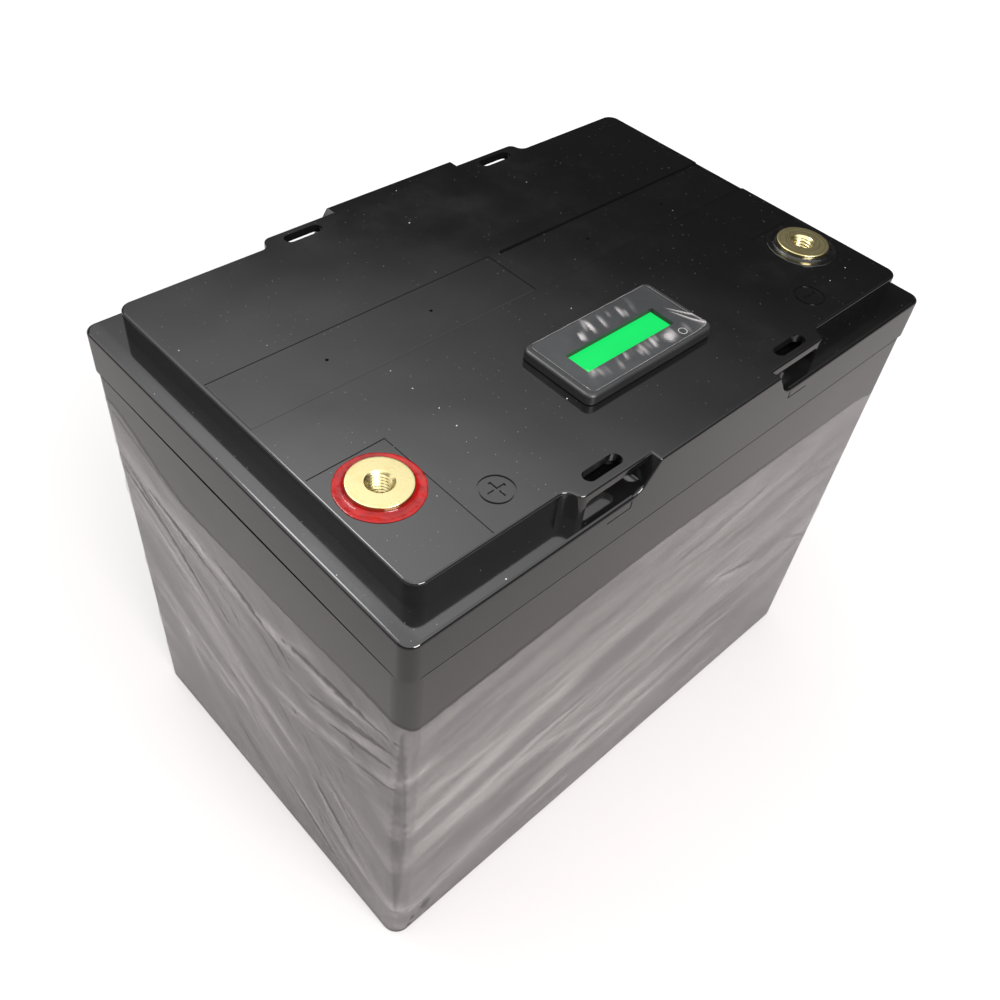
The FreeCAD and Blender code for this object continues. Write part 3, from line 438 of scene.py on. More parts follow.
case_black = glossy_moulding("case_black", (0.0070, 0.0066, 0.0066), 0.10, False, ior=1.62)
lid_black = glossy_moulding("lid_black", (0.0040, 0.0040, 0.0042), 0.07, True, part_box("lid")[1].x)
cover_black = glossy_moulding("cover_black", (0.0040, 0.0040, 0.0042), 0.09, True)
bezel_black = satin_plastic("bezel_black", (0.010, 0.010, 0.010), 0.38)
key_grey = satin_plastic("key_grey", (0.035, 0.036, 0.038), 0.35)
part_black = satin_plastic("part_black", (0.02, 0.02, 0.02), 0.5)
nylon = satin_plastic("nylon", (0.78, 0.76, 0.70), 0.4)
guide = satin_plastic("light_guide", (0.25, 0.85, 0.4), 0.3)
board_green = laminate("board_green", (0.015, 0.12, 0.045), 0.35)
epoxy = laminate("epoxy_board", (0.48, 0.52, 0.22))
white_sheet = laminate("white_sheet", (0.75, 0.75, 0.72))
steel = plain_metal("zinc_steel", (0.62, 0.62, 0.60), 0.32)
strap_steel = plain_metal("strap_steel", (0.55, 0.55, 0.55), 0.35, (1, 1, 0.05))
copper = plain_metal("copper_bar", (0.80, 0.42, 0.26), 0.3, (0.1, 1, 1))
tinned = plain_metal("tinned_copper", (0.70, 0.69, 0.66), 0.28)
alloy = plain_metal("aluminium_sheet", (0.74, 0.75, 0.76), 0.3, (0.08, 1, 1))
standoff_brass = plain_metal("standoff_brass", (0.80, 0.60, 0.28), 0.3)
sleeve_blue = soft_cover("cell_sleeve", (0.03, 0.12, 0.36), 0.35)
rubber = soft_cover("black_rubber", (0.015, 0.015, 0.015), 0.6)
lead_red = soft_cover("red_silicone", (0.42, 0.02, 0.02), 0.5)
lead_black = soft_cover("black_silicone", (0.012, 0.012, 0.012), 0.5)
wire_red = soft_cover("wire_red", (0.5, 0.06, 0.03), 0.45)

FINISHES = {
    case_black: ["case"],
    lid_black: ["lid"],
    cover_black: ["vent_cover_left", "vent_cover_right"],
    bezel_black: ["display_bezel"],
    key_grey: ["display_key"],
    part_black: ["display_key_switch", "bms_transistors"],
    nylon: ["display_plug", "deck_spacers", "bms_heatsink_feet", "bms_plug"],
    guide: ["display_backlight"],
    board_green: ["display_board", "bms_board"],
    epoxy: ["base_board", "side_boards", "deck_board"],
    white_sheet: ["cell_separators"],
    steel: ["display_board_screws", "cell_nuts", "deck_screws", "bms_screws", "lug_bolts"],
    strap_steel: ["pack_straps"],
    copper: ["positive_busbar", "series_busbar_1", "series_busbar_2", "series_busbar_3",
             "negative_busbar"],
    tinned: ["bms_shunts", "ring_lugs"],
    alloy: ["end_plate_left", "end_plate_right", "bms_heatsink"],
    standoff_brass: ["bms_standoffs"],
    sleeve_blue: [f"cell_{i}" for i in range(1, 9)],
    rubber: ["lid_seal", "terminal_o_rings", "display_gasket"],
    lead_red: ["positive_lead"],
    lead_black: ["negative_lead", "pack_negative_lead"],
    wire_red: ["sense_wires", "display_wires"],
    lit_screen("lit_screen"): ["display_lcd"],
}
for finish, names in FINISHES.items():
    for name in names:
        dress(name, finish)

MARK_BESIDE_KEY = (6.3 * MM, -0.8 * MM)
overlay_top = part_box("display_overlay")[1].z
key_centre = middle("display_key")
ring_mark = (key_centre.x + MARK_BESIDE_KEY[0], key_centre.y + MARK_BESIDE_KEY[1], overlay_top)
dress("display_overlay", printed_sheet("printed_sheet", ring_mark))


# ---------------------------------------------------------------- mesh helpers
def add_object(name, verts, faces, mat, smooth=True):
    mesh = bpy.data.meshes.new(name)
    mesh.from_pydata(verts, [], faces)
    mesh.update()
    mesh.materials.append(mat)
    mesh.polygons.foreach_set("use_smooth", [smooth] * len(mesh.polygons))
    piece = bpy.data.objects.new(name, mesh)
    bpy.context.scene.collection.objects.link(piece)
    return piece


def stand_for(piece, body, slot, *nodes):
    """Puts a piece on its body and hides the CAD nodes it replaces. The slot argument is not used."""
    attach(piece, body)
    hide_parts(*nodes)


def grid_faces(rows, columns, closed):
    """Quads over a grid of points, row by row, joined round when closed."""
    last = columns if closed else columns - 1
    return [(r * columns + c, r * columns + (c + 1) % columns,
             (r + 1) * columns + (c + 1) % columns, (r + 1) * columns + c)
            for r in range(rows - 1) for c in range(last)]


def set_attribute(piece, name, values):
    layer = piece.data.attributes.new(name, "FLOAT", "POINT")
    layer.data.foreach_set("value", np.asarray(values, np.float32))


def sharpen(piece, degrees):
    """Keeps the edges sharper than an angle crisp."""
    piece.data.set_sharp_from_angle(angle=math.radians(degrees))


# ---------------------------------------------------------------- terminals
PITCH = 1.25 * MM
CREST = 3.4 * MM
ROOT = 4.0 * MM
THREAD_DEEP = 13.5 * MM
THREAD_STEPS = 12              # rings of points to each turn of the thread
TURN_STEPS = 96
SHANK = 8.0 * MM
SHANK_GROOVE = 1.2 * MM
DISC_THICK = 4.3 * MM
DISC_ROUND = 0.35 * MM
SINK = 4.45 * MM               # countersink at the top of the thread
SINK_ROUND = 0.12 * MM
SINK_SLOPE = 0.95
CHAMFER = 0.3 * MM
FOOT_OPEN = 4.4 * MM           # the shank's underside is left open inside this radius
THREAD_START = 0.35 * MM       # first row of the thread below the top
DRILL_END = 1.2 * MM           # from the thread's end down to the drilled hole's foot
BRASS = (0.50, 0.435, 0.225)


def terminal_rows(node):
    """Outline from the shank's foot, over its groove and the disc, to the countersink."""
    low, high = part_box(node)
    disc = (high.x - low.x) / 2
    seat = high.z - DISC_THICK
    waist = SHANK - SHANK_GROOVE
    outline = [(FOOT_OPEN, low.z), (SHANK - CHAMFER, low.z), (SHANK, low.z + CHAMFER),
               (SHANK, seat - 5.9 * MM), (waist, seat - 5.8 * MM), (waist, seat - 3.8 * MM),
               (SHANK, seat - 3.7 * MM), (SHANK, seat), (disc, seat), (disc, high.z - DISC_ROUND)]
    for step in range(1, 6):
        a = math.radians(18 * step)
        outline.append((disc - DISC_ROUND * (1 - math.cos(a)), high.z - DISC_ROUND * (1 - math.sin(a))))
    flat_out, flat_in = disc - DISC_ROUND, SINK + 0.15 * MM
    for step in range(1, 13):
        outline.append((flat_out + (flat_in - flat_out) * step / 12, high.z))
    outline.append((SINK, high.z - SINK_ROUND))
    return outline, high.z


def turn_angles(count):
    return [2 * math.pi * i / count for i in range(count)]


def circle(centre, radius, z, angles):
    """Points at the given angles round a centre, at one height."""
    return [(centre.x + radius * math.cos(a), centre.y + radius * math.sin(a), z) for a in angles]


def screw_radius(z, angle, top):
    """Radius of a 60 degree thread with flattened crests."""
    turn = ((top - z) / PITCH + angle / (2 * math.pi)) % 1.0
    wave = abs(2 * turn - 1)
    wave = min(1.0, max(0.0, (wave - 0.10) / 0.80))
    return CREST + (ROOT - CREST) * wave


def make_terminal(node, mat):
    """Turned insert with a cut thread, drilled a little past the thread's end."""
    centre = middle(node)
    outline, top = terminal_rows(node)
    angles = turn_angles(TURN_STEPS)
    verts = []
    for radius, z in outline:
        verts += circle(centre, radius, z, angles)
    start = top - THREAD_START
    steps = int(THREAD_DEEP / PITCH * THREAD_STEPS)
    widest = SINK - 0.03 * MM
    for step in range(steps + 1):
        z = start - THREAD_DEEP * step / steps
        cone = widest - (top - z - SINK_ROUND) * SINK_SLOPE
        for a in angles:
            radius = max(screw_radius(z, a, top), min(cone, widest))
            verts += circle(centre, radius, z, [a])
    foot = start - THREAD_DEEP - DRILL_END
    for radius in (3.2 * MM, 1.6 * MM, 0.05 * MM):
        verts += circle(centre, radius, foot, angles)
    faces = grid_faces(len(verts) // TURN_STEPS, TURN_STEPS, True)
    piece = add_object(node + "_turned", verts, faces, mat)
    sharpen(piece, 28)
    stand_for(piece, "battery", "brass", node)


# the resin's section: how far out it is, from 0 at the disc to 1, and its height in millimetres
POURED = [(0.0, 0.55), (0.05, 0.34), (0.12, 0.16), (0.24, 0.03), (0.40, -0.03), (0.60, -0.02),
          (0.78, 0.03), (0.88, 0.06), (0.95, 0.04), (1.0, -0.04), (1.0, -0.6), (1.0, -2.1), (0.0, -2.1)]
RING_STEPS = 144
RING_SINK = 0.35 * MM          # level of the resin's middle below its CAD top
EDGE_WOBBLE = 0.35 * MM
TOP_WOBBLE = 0.08 * MM


def ring_waves(seed):
    """Seven random waves round a ring: number, phase and size of each."""
    rng = random.Random(seed)
    return [(rng.randint(2, 9), rng.uniform(0, 2 * math.pi), rng.uniform(0.3, 1.0)) for _ in range(7)]


def make_seal_ring(node, terminal, mat, slot, seed, proud):
    """Resin that creeps up the disc's side, sags between and swells over the rim of its recess."""
    low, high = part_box(node)
    centre = (low + high) / 2
    disc_low, disc_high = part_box(terminal)
    inner = (disc_high.x - disc_low.x) / 2
    outer = (high.x - low.x) / 2
    plane = high.z - RING_SINK
    waves = ring_waves(seed)
    verts = []
    for along, rise in POURED:
        for a in turn_angles(RING_STEPS):
            wobble = sum(g * math.sin(n * a + p) for n, p, g in waves) / len(waves)
            reach = inner + (outer - inner) * along
            if along > 0.7 and rise > -1:
                reach += EDGE_WOBBLE * wobble * (along - 0.7) / 0.3
            height = plane + rise * MM * proud + TOP_WOBBLE * wobble * math.sin(math.pi * along)
            if rise < -0.5:
                height = plane + rise * MM
            verts += circle(centre, reach, height, [a])
    rows = len(POURED)
    faces = grid_faces(rows, RING_STEPS, True)
    last = (rows - 1) * RING_STEPS
    faces += [(last + i, last + (i + 1) % RING_STEPS, (i + 1) % RING_STEPS, i) for i in range(RING_STEPS)]
    piece = add_object(node + "_poured", verts, faces, mat)
    sharpen(piece, 50)
    stand_for(piece, "battery", slot, node)


for pole in ("positive", "negative"):
    at = middle(pole + "_terminal")
    make_terminal(pole + "_terminal", turned_metal(pole + "_brass", BRASS, 0.28, (at.x, at.y)))
red_resin = cast_resin("red_resin", (0.24, 0.005, 0.004), (0.16, 0.003, 0.003), 0.22)
make_seal_ring("positive_seal_ring", "positive_terminal", red_resin, "red_resin", 3, 1.0)
black_resin = cast_resin("black_resin", (0.006, 0.006, 0.006), (0.004, 0.004, 0.004), 0.4)
make_seal_ring("negative_seal_ring", "negative_terminal", black_resin, "black_resin", 5, 1.2)


# ---------------------------------------------------------------- wrap film
CASE_CORNER = 6.5 * MM


class Wrap:
    """Positions round the case: arc length s runs from the front wall's left end, by the front,
    right, back and left walls."""

    def __init__(self, node, gap):
        low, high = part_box(node)
        self.hx = (high.x - low.x) / 2 + gap
        self.hy = (high.y - low.y) / 2 + gap
        self.radius = CASE_CORNER + gap
        self.long = 2 * (self.hx - self.radius)
        self.short = 2 * (self.hy - self.radius)
        self.bend = self.radius * math.pi / 2
        self.round = 2 * (self.long + self.short) + 4 * self.bend
        self.left_start = 2 * self.long + self.short + 3 * self.bend

    def front(self, x):
        return x * MM + self.hx - self.radius

    def right(self, y):
        return self.long + self.bend + y * MM + self.hy - self.radius

    def back(self, x):
        return self.long + self.short + 2 * self.bend + self.hx - self.radius - x * MM

    def left(self, y):
        return self.left_start + self.hy - self.radius - y * MM

    def wall(self, name):
        """The method above that places a millimetre of one wall."""
        return {"front": self.front, "right": self.right, "back": self.back, "left": self.left}[name]

    def at(self, s):
        """Point and outward direction at arc length s."""
        ix, iy, r = self.hx - self.radius, self.hy - self.radius, self.radius
        walls = [(self.long, (-ix, -iy), (1, 0), (0, -1)), (self.short, (ix, -iy), (0, 1), (1, 0)),
                 (self.long, (ix, iy), (-1, 0), (0, 1)), (self.short, (-ix, iy), (0, -1), (-1, 0))]
        for length, corner, way, out in walls:
            if s <= length:
                return (corner[0] + way[0] * s + out[0] * r, corner[1] + way[1] * s + out[1] * r, *out)
            s -= length
            if s <= self.bend:
                a = s / r
                pivot = (corner[0] + way[0] * length, corner[1] + way[1] * length)
                nx = out[0] * math.cos(a) + way[0] * math.sin(a)
                ny = out[1] * math.cos(a) + way[1] * math.sin(a)
                return (pivot[0] + nx * r, pivot[1] + ny * r, nx, ny)
            s -= self.bend
        return self.at(0.0)


def smooth(x, low, high):
    """0 up to low and 1 from high on, with an even step between, or the other way if high is less."""
    t = np.clip((x - low) / (high - low), 0, 1)
    return t * t * (3 - 2 * t)


class Creases:
    """Ridges and clinging patches laid over a sheet with coordinates u and v, in metres. u closes on
    itself after the length around, where one is given."""

    def __init__(self, u, v, around=None):
        self.u, self.v, self.around = u, v, around
        self.height = np.zeros_like(u)
        self.cling = np.zeros_like(u)

    def frame(self, start, end):
        """Share of the way from start to end, and distance off that line, all over the sheet."""
        du, dv = end[0] - start[0], end[1] - start[1]
        length = math.hypot(du, dv)
        u = self.u - start[0]
        if self.around:
            u = (u + self.around / 2) % self.around - self.around / 2
        v = self.v - start[1]
        along = (u * du + v * dv) / length ** 2
        across = (u * dv - v * du) / length
        return along, across

    def ridge(self, start, end, width, height, skew=0.0, bow=0.0):
        """Long crease that rises and dies out between two points. skew leans its crest."""
        along, across = self.frame(start, end)
        across = across - bow * np.sin(np.pi * np.clip(along, 0, 1))
        body = np.sin(np.pi * np.clip(along, 0, 1)) ** 0.8
        lean = np.where(across > 0, 1 + skew, 1 - skew)
        self.height += height * body * np.exp(-(across / (width * lean)) ** 2)

    def patch(self, start, end, width, strength=1.0):
        """Ragged sliver, pointed at both ends, where the film clings and turns clear."""
        along, across = self.frame(start, end)
        length = math.hypot(end[0] - start[0], end[1] - start[1])
        point = (1 - np.abs(2 * np.clip(along, 0, 1) - 1)) ** 0.7
        ragged = 0.82 + 0.18 * np.sin(along * length * 1100 + start[0] * 900)
        sliver = 0.8 * width * point * ragged + 1e-9
        inside = 1 - smooth(np.abs(across) / sliver, 0.8, 1.1)
        inside *= (along > 0) & (along < 1)
        self.cling = np.maximum(self.cling, strength * inside)


NEAR_TOP = 157.8       # the film's upper edge at the near corner, in millimetres
BLEND = 14             # the edge of one wall runs into the next over this many millimetres
NEAR_BLEND = 10


def film_top(wrap, s):
    """Upper edge of the wrap film, in metres, at each s. It bows up along the front wall, climbs
    towards the far end of the left one, and is made up on the other two."""
    x = (s - wrap.front(0)) / MM
    front = 157.6 + 4.2 * np.cos(np.clip(x / 128, -1, 1) * np.pi / 2)
    y = -(s - wrap.left(0)) / MM
    left = NEAR_TOP + 19.0 * smooth(y, 28, 84) + 3.6 * smooth(-y, 15, 72)
    right_y = (s - wrap.right(0)) / MM
    right = 158.5 + 3.0 * np.sin(right_y / 38) - 3.0 * smooth(right_y, -60, -82)
    back_x = -(s - wrap.back(0)) / MM
    back = 165.0 + 4.0 * np.sin(back_x / 55) + 7.0 * smooth(-back_x, 60, 125)
    joins = (wrap.front(126), wrap.right(80), wrap.back(-126))
    wall = np.where(s < joins[0], front, right)
    wall = np.where(s > joins[1], back, wall)
    wall = np.where(s > joins[2], left, wall)
    for join in joins:
        near = smooth(np.abs(s - join) / MM, 0, BLEND)
        level = np.interp(join, s[0], wall[0])
        wall = level * (1 - near) + wall * near
    away = smooth(np.minimum(s, wrap.round - s) / MM, 0, NEAR_BLEND)
    wall = NEAR_TOP * (1 - away) + wall * away
    return (wall + 0.25 * np.sin(s * 900) * np.sin(s * 143)) * MM


# random folds: wall, how many, and the ranges of place along it, height, length, angle, width and
# depth, in millimetres and degrees
SCATTERED_FOLDS = (
    # front wall: long, low folds nearly level, fanning out towards both ends
    ("front", 30, (-110, 110), (12, 140), (60, 150), (2, 11), (3.5, 8.0), (0.10, 0.30)),
    ("front", 16, (-124, -60), (15, 125), (25, 60), (4, 18), (1.8, 3.6), (0.06, 0.16)),
    ("front", 14, (40, 122), (10, 130), (30, 70), (-18, 10), (1.8, 4.0), (0.08, 0.20)),
    # left wall: folds run down from the far top to the near foot, and fan out from the near corner
    ("left", 26, (0, 80), (60, 150), (40, 80), (18, 38), (1.4, 4.5), (0.12, 0.45)),
    ("left", 24, (-75, 10), (10, 80), (30, 75), (22, 48), (1.2, 4.0), (0.10, 0.35)),
    ("left", 22, (-80, -25), (95, 145), (25, 55), (-30, -8), (1.0, 3.0), (0.10, 0.35)),
    # right and back walls: loose folds in no order
    ("right", 40, (-78, 78), (12, 140), (30, 90), (-25, 25), (1.5, 5.0), (0.10, 0.35)),
    ("back", 46, (-118, 118), (12, 140), (50, 130), (-12, 16), (1.8, 6.0), (0.10, 0.35)),
)
# large folds: wall, start, end, width, depth and sideways bow, in millimetres
LARGE_FOLDS = (
    ("left", (62, 150), (-82, 150), 3.0, 0.75, 12),
    ("left", (84, 146), (24, 108), 2.4, 0.6, 0),
    ("left", (80, 135), (10, 96), 2.0, 0.5, 0),
    ("left", (-5, 140), (-80, 152), 2.2, 0.6, 3),
    ("left", (-30, 116), (-80, 141), 2.6, 0.6, 2),
    ("left", (34, 66), (16, 56), 3.0, 0.7, 3),
    ("left", (56, 80), (40, 42), 3.2, 0.5, 3),
    ("left", (-8, 42), (-56, 9), 2.8, 0.5, 0),
    ("left", (-30, 66), (-60, 36), 2.2, 0.45, 0),
    ("front", (-128, 112), (-40, 108), 3.6, 0.35, 2),
    ("front", (-124, 72), (0, 86), 4.2, 0.40, -3),
    ("front", (-90, 82), (-10, 56), 3.4, 0.35, 0),
    ("front", (-60, 32), (60, 42), 4.0, 0.35, 3),
    ("front", (30, 102), (78, 80), 3.0, 0.45, 0),
)
FOLD_LEAN = 0.4
# slivers where the film clings: wall, start, end, width in millimetres and strength
CLINGS = (
    ("left", (84, 174), (34, 156), 2.2, 0.6),
    ("left", (84, 146), (37, 123), 1.5, 0.8),
    ("left", (76, 149), (22, 109), 2.0, 0.8),
    ("left", (60, 146), (12, 132), 2.6, 0.7),
    ("left", (20, 146), (-30, 132), 2.0, 0.7),
    ("left", (-20, 141), (-82, 150), 2.0, 0.8),
    ("left", (-36, 124), (-80, 143), 3.0, 1.0),
    ("left", (-46, 119), (-80, 134), 2.4, 0.9),
    ("left", (-62, 112), (-82, 122), 1.4, 0.8),
    ("left", (-16, 137), (-27, 126), 1.8, 0.9),
    ("left", (-6, 132), (-22, 118), 1.1, 0.7),
    ("left", (-8, 40), (-54, 10), 2.4, 0.8),
    ("left", (-34, 66), (-58, 40), 2.0, 0.8),
    ("left", (-44, 78), (-62, 58), 1.0, 0.6),
    ("left", (22, 36), (2, 20), 2.2, 0.6),
    ("left", (-14, 96), (-24, 84), 1.3, 0.7),
    ("left", (-30, 90), (-36, 80), 1.6, 0.8),
    # the film is tight round the near corner, so it is a little clearer there
    ("front", (-129, 160), (-129, 20), 4.5, 0.35),
    ("front", (40, 98), (76, 84), 2.0, 0.55),
    ("front", (96, 84), (124, 66), 1.6, 0.5),
)
# random slivers: wall, how many, ranges as for the random folds with strength last, and where a
# sliver's two ends lie from the point drawn, in its lengths
SCATTERED_CLINGS = (
    ("left", 34, (-62, 34), (12, 132), (3, 12), (38, 66), (0.4, 1.2), (0.5, 1.0), (0, -1)),
    ("front", 16, (-100, 120), (10, 140), (20, 70), (-10, 8), (1.5, 4.5), (0.12, 0.28), (0, 1)),
    ("right", 12, (-60, 60), (14, 140), (14, 46), (-20, 4), (0.5, 1.3), (0.2, 0.5), (-0.5, 0.5)),
    ("back", 12, (-95, 95), (14, 140), (14, 46), (-10, 12), (0.5, 1.3), (0.2, 0.5), (-0.5, 0.5)),
)


def draw_line(rng, across, heights, lengths, angles):
    """A random point, and the run and rise of a line of random length and tilt, in millimetres."""
    u, v = rng.uniform(*across), rng.uniform(*heights)
    reach = rng.uniform(*lengths)
    tilt = math.radians(rng.uniform(*angles))
    return u, v, reach * math.cos(tilt), reach * math.sin(tilt)


def scatter_folds(folds, rng, place, count, across, heights, lengths, angles, widths, depths):
    """Adds random folds, each centred on the point drawn. place turns a wall's millimetre into s."""
    for _ in range(count):
        u, v, run, rise = draw_line(rng, across, heights, lengths, angles)
        start = (place(u - run / 2), (v - rise / 2) * MM)
        end = (place(u + run / 2), (v + rise / 2) * MM)
        folds.ridge(start, end, rng.uniform(*widths) * MM, rng.uniform(*depths) * MM,
                    rng.uniform(-0.5, 0.5), rng.uniform(-3, 3) * MM)


def scatter_clings(folds, rng, place, count, across, heights, lengths, angles, widths, strengths, ends):
    """Adds random slivers, with their ends at the given shares of a length from the point drawn."""
    for _ in range(count):
        u, v, run, rise = draw_line(rng, across, heights, lengths, angles)
        start, end = ((place(u + run * at), (v + rise * at) * MM) for at in ends)
        folds.patch(start, end, rng.uniform(*widths) * MM, rng.uniform(*strengths))


def wrap_creases(wrap, s, z):
    """All folds and clinging slivers of the wrap film, at arc length s and height z."""
    rng = random.Random(SEED)
    folds = Creases(s, z, wrap.round)
    for wall, *ranges in SCATTERED_FOLDS:
        scatter_folds(folds, rng, wrap.wall(wall), *ranges)
    for wall, start, end, width, depth, bow in LARGE_FOLDS:
        place = wrap.wall(wall)
        folds.ridge((place(start[0]), start[1] * MM), (place(end[0]), end[1] * MM),
                    width * MM, depth * MM, FOLD_LEAN, bow * MM)
    for wall, start, end, width, strength in CLINGS:
        place = wrap.wall(wall)
        folds.patch((place(start[0]), start[1] * MM), (place(end[0]), end[1] * MM), width * MM, strength)
    for wall, *ranges in SCATTERED_CLINGS:
        scatter_clings(folds, rng, wrap.wall(wall), *ranges)
    return folds


# place on the front wall, height, half width and half height of each tear, in millimetres
TEARS = ((-114.6, 11.6, 3.2, 5.0), (-121.2, 8.6, 1.5, 1.8), (-123.0, 4.2, 2.2, 2.2))


def tears(wrap, s, z):
    """Small holes near the foot of the near corner: 0 inside a tear."""
    whole = np.ones_like(s)
    for x, height, half, tall in TEARS:
        du = np.abs(s - wrap.front(x)) / (half * MM)
        dv = np.abs(z - height * MM) / (tall * MM)
        jag = 0.15 * np.sin(s * 4100) + 0.12 * np.sin(z * 5300 + s * 2700)
        whole = np.where(du + dv + jag < 1, 0.0, whole)
    return whole


FILM_GAP = 0.12 * MM
FILM_COLUMNS = 1240
FILM_ROWS = 170
FOLD_LIMIT = 1.3 * MM
EDGE_CURL = 0.35 * MM
FRONT_STREAKS = math.radians(6)       # tilt of the film's streaks on all walls but the left one
LEFT_STREAKS = math.radians(145)


def stand_off(folds, s, share):
    """How far the film stands off the case. It is tight at the foot and curls a little at the top."""
    edge = smooth(share, 0.0, 0.03) * (1 - 0.5 * smooth(share, 0.97, 1.0))
    height = np.clip(folds.height, 0, FOLD_LIMIT) * (1 - 0.75 * folds.cling) * edge
    curl = EDGE_CURL * smooth(share, 0.985, 1.0) * (0.5 + 0.5 * np.sin(s * 47))
    return height + curl


def mark_wrap_film(piece, wrap, folds, s, z):
    """Gives the sheet the attributes that its material reads. The left wall's film is milkier at its
    far end than at the near corner."""
    loose = 0.62 + 0.38 * np.clip(folds.height / (0.50 * MM), -0.6, 1.0)
    on_left = smooth(s, wrap.left(86), wrap.left(80)) * (1 - smooth(s, wrap.round - 5 * MM, wrap.round))
    depth = (wrap.left(0) - s) / MM
    loose = loose * (0.74 + 0.26 * on_left * smooth(depth, -70, 50) + 0.06 * on_left)
    set_attribute(piece, "lift", np.clip(loose * (1 - folds.cling), 0, 1).ravel())
    tilt = FRONT_STREAKS + (LEFT_STREAKS - FRONT_STREAKS) * on_left
    set_attribute(piece, "along", (s * np.cos(tilt) + z * np.sin(tilt)).ravel())
    set_attribute(piece, "across", (z * np.cos(tilt) - s * np.sin(tilt)).ravel())
    set_attribute(piece, "whole", tears(wrap, s, z).ravel())


def make_wrap_film():
    """Sheet round the four walls, from just above the floor to its wavy upper edge."""
    wrap = Wrap("case", FILM_GAP)
    line = np.arange(FILM_COLUMNS) / FILM_COLUMNS * wrap.round
    s = np.tile(line, (FILM_ROWS, 1))
    top = film_top(wrap, s)
    foot = (2.3 + 0.4 * np.sin(s * 61) * np.sin(s * 23 + 1)) * MM
    share = np.linspace(0, 1, FILM_ROWS)[:, None]
    z = foot + (top - foot) * share
    folds = wrap_creases(wrap, s, z)
    height = stand_off(folds, s, share)
    spots = [wrap.at(v) for v in line]
    px, py, nx, ny = (np.array([p[i] for p in spots]) for i in range(4))
    verts = np.stack([px + nx * height, py + ny * height, z], -1).reshape(-1, 3)
    film = clear_film("wrap_film_clear", 0.01, 0.36, 0.2)
    piece = add_object("wrap_film_sheet", verts.tolist(), grid_faces(FILM_ROWS, FILM_COLUMNS, True), film)
    mark_wrap_film(piece, wrap, folds, s, z)
    stand_for(piece, "battery", "wrap_film", "wrap_film")


make_wrap_film()


# ---------------------------------------------------------------- film on the display
DISPLAY_COLUMNS = 190
DISPLAY_ROWS = 96
DISPLAY_WRINKLES = 26
# upright folds beside the window: place along it, inner end, outer end, all in millimetres
UPPER_FOLDS = ((-6.5, 5.0, 13.5), (-1.0, 5.0, 13.0), (8.0, 5.5, 12.5), (-13.0, 5.0, 10.0))
LOWER_FOLDS = ((1.5, -6.0, -13.5), (7.0, -6.0, -12.0), (-6.0, -6.0, -10.5))
FOLD_SLANT = 2.2
CORNER_FOLDS = (((23.6, 1.5), (31.5, -12.5)), ((23.6, -0.7), (28.8, -15.4)))
FILM_CORNER = 2.0 * MM
KEY_DOME = 0.22 * MM
LIFT_LIMIT = 1.6 * MM


def display_creases(u, v):
    """Small random wrinkles above and below the window, larger folds, and two at the corner."""
    folds = Creases(u, v)
    rng = random.Random(SEED + 4)
    for _ in range(DISPLAY_WRINKLES):
        side = rng.choice((-1, 1))
        x = rng.uniform(-24, 22)
        y = side * rng.uniform(6.5, 11.5)
        reach = rng.uniform(4, 9)
        tilt = math.radians(rng.uniform(64, 84))
        run, rise = reach * math.cos(tilt) / 2, reach * math.sin(tilt) / 2
        folds.ridge(((x - run) * MM, (y - rise) * MM), ((x + run) * MM, (y + rise) * MM),
                    rng.uniform(0.7, 1.6) * MM, rng.uniform(0.05, 0.22) * MM, rng.uniform(-0.5, 0.5))
    sides = ((UPPER_FOLDS, FOLD_SLANT, 0.34, 0.5), (LOWER_FOLDS, -FOLD_SLANT, 0.26, -0.5))
    for rows, slant, depth, lean in sides:
        for x, y0, y1 in rows:
            folds.ridge((x * MM, y0 * MM), ((x + slant) * MM, y1 * MM), 0.9 * MM, depth * MM, lean)
    # two sharp folds run out to the lifted corner
    for start, end in CORNER_FOLDS:
        folds.ridge((start[0] * MM, start[1] * MM), (end[0] * MM, end[1] * MM), 0.32 * MM, 0.55 * MM)
    return folds


def corner_lift(u, v, hx, hy):
    """Height of the corner at +X, -Y, which has come up along a diagonal line."""
    beyond = np.clip((u - hx) * 0.82 - (v + hy) * 0.57 + 6.2 * MM, 0, None)
    return 0.055 * (beyond / MM) ** 1.7 * MM


def rounded(u, v, hx, hy):
    """Draws the points past the rounded corners back onto them."""
    cu = np.clip(np.abs(u) - (hx - FILM_CORNER), 0, None)
    cv = np.clip(np.abs(v) - (hy - FILM_CORNER), 0, None)
    far = np.hypot(cu, cv)
    pull = np.where(far > FILM_CORNER, FILM_CORNER / np.maximum(far, 1e-9), 1.0)
    x = np.where(far > FILM_CORNER, np.sign(u) * (hx - FILM_CORNER + cu * pull), u)
    y = np.where(far > FILM_CORNER, np.sign(v) * (hy - FILM_CORNER + cv * pull), v)
    return x, y


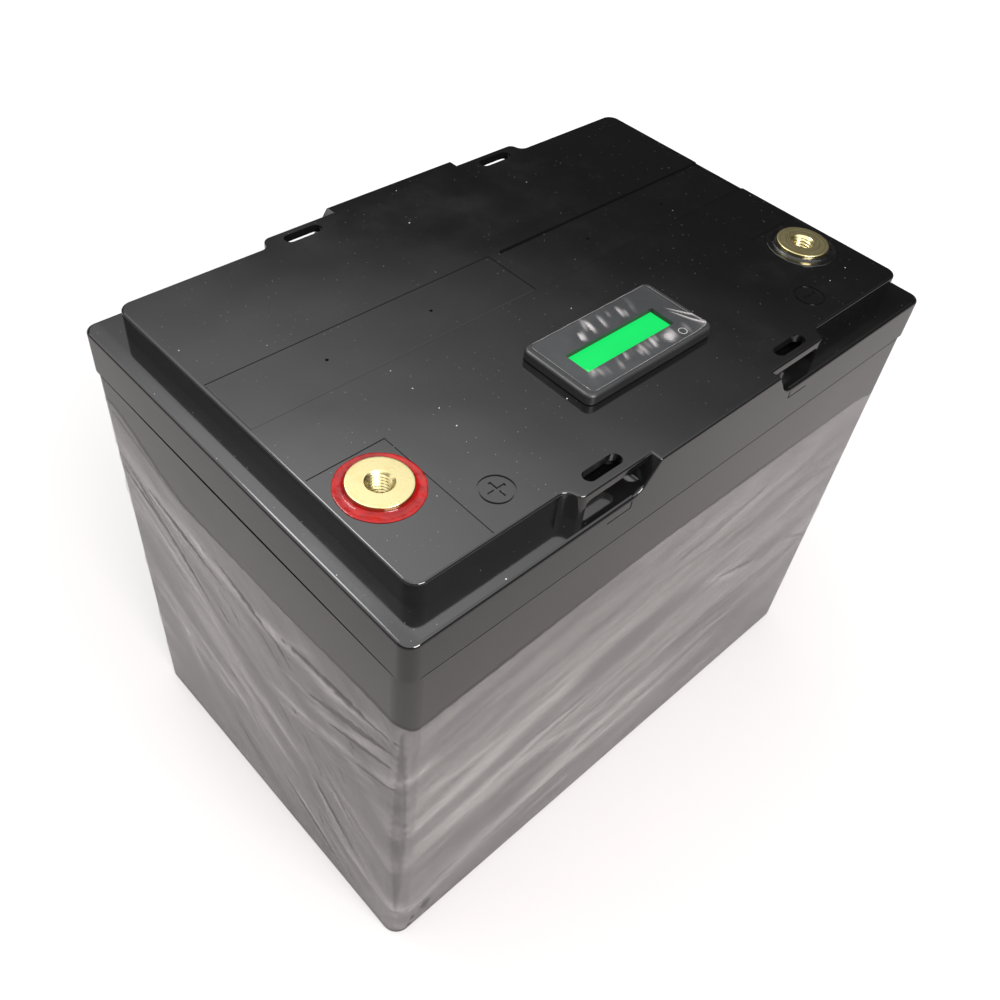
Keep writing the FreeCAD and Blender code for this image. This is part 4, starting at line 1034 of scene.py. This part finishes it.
def make_display_film():
    """Film over the display: flat and clear over the window, wrinkled round it, raised over the key."""
    low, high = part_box("display_film")
    centre = (low + high) / 2
    hx, hy = (high.x - low.x) / 2, (high.y - low.y) / 2
    u, v = np.meshgrid(np.linspace(-hx, hx, DISPLAY_COLUMNS), np.linspace(-hy, hy, DISPLAY_ROWS))
    folds = display_creases(u, v)
    edge = np.minimum(np.minimum(u + hx, hx - u), np.minimum(v + hy, hy - v)) / MM
    waves = 0.5 + 0.5 * np.sin(u * 700 + 2) * np.sin(v * 480 + 1)
    flutter = 0.16 * MM * (1 - smooth(edge, 0, 2.5)) * waves
    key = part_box("display_key")
    kx, ky = (key[0].x + key[1].x) / 2 - centre.x, (key[0].y + key[1].y) / 2 - centre.y
    dome = KEY_DOME * np.exp(-(((u - kx) / (3.2 * MM)) ** 2 + ((v - ky) / (2.8 * MM)) ** 2))
    corner = corner_lift(u, v, hx, hy)
    z = centre.z + folds.height + flutter + dome + np.clip(corner, 0, LIFT_LIMIT)
    x, y = rounded(u, v, hx, hy)
    verts = np.stack([x + centre.x, y + centre.y, z], -1).reshape(-1, 3)
    film = clear_film("display_film_clear", 0.005, 0.34, 0.1)
    faces = grid_faces(DISPLAY_ROWS, DISPLAY_COLUMNS, False)
    piece = add_object("display_film_sheet", verts.tolist(), faces, film)
    window = (np.abs(u) < 22 * MM) & (np.abs(v + 1.2 * MM) < 5.4 * MM)
    haze = np.clip(folds.height / (0.45 * MM) + corner / (2.2 * MM) + dome / (0.4 * MM), 0, 1)
    haze = np.where(window, 0.0, haze)
    rim = 1 - smooth(edge, 0.0, 0.35)
    set_attribute(piece, "lift", np.clip(np.maximum(haze, 0.75 * rim), 0, 1).ravel())
    set_attribute(piece, "whole", np.ones(u.size))
    set_attribute(piece, "along", v.ravel())
    set_attribute(piece, "across", u.ravel())
    stand_for(piece, "battery", "display_film", "display_film")


make_display_film()


# ---------------------------------------------------------------- floor and finish
FLOOR_REACH = 6.0
FLOOR_Z = -0.2 * MM


def make_floor():
    """Grey paper. The camera sees it glow lighter than the light it throws on the object, and the glow
    is weaker near the object, a painted shadow round its foot, and stronger away from it, which keeps the
    background white."""
    s = Shade("floor_paper", rough=0.85)
    s.put("Base Color", s.blend(s.noise(3.0, 3.0), rgb(0.28, 0.267, 0.264), rgb(0.295, 0.282, 0.278)))
    s.put("Specular IOR Level", 0.0)
    seen = s.add("ShaderNodeLightPath").outputs["Is Camera Ray"]
    away = s.add("ShaderNodeVectorMath", operation="LENGTH")
    s.link(s.place, away.inputs[0])
    # painted shadow: the camera-only glow rises from 0.40 to 0.60 between 0.14 and 0.5 m from the middle,
    # so the floor looks shaded round the object
    lift = s.span(away.outputs["Value"], 0.14, 0.5, 0.40, 0.60)
    s.put("Emission Color", rgb(1.0, 1.0, 1.0))
    s.put("Emission Strength", s.math("MULTIPLY", seen, lift))
    verts = [(FLOOR_REACH * x, FLOOR_REACH * y, FLOOR_Z) for x, y in ((-1, -1), (1, -1), (1, 1), (-1, 1))]
    floor = add_object("floor", verts, [(0, 1, 2, 3)], s.mat, False)


make_floor()
bpy.context.scene.view_settings.view_transform = "Standard"
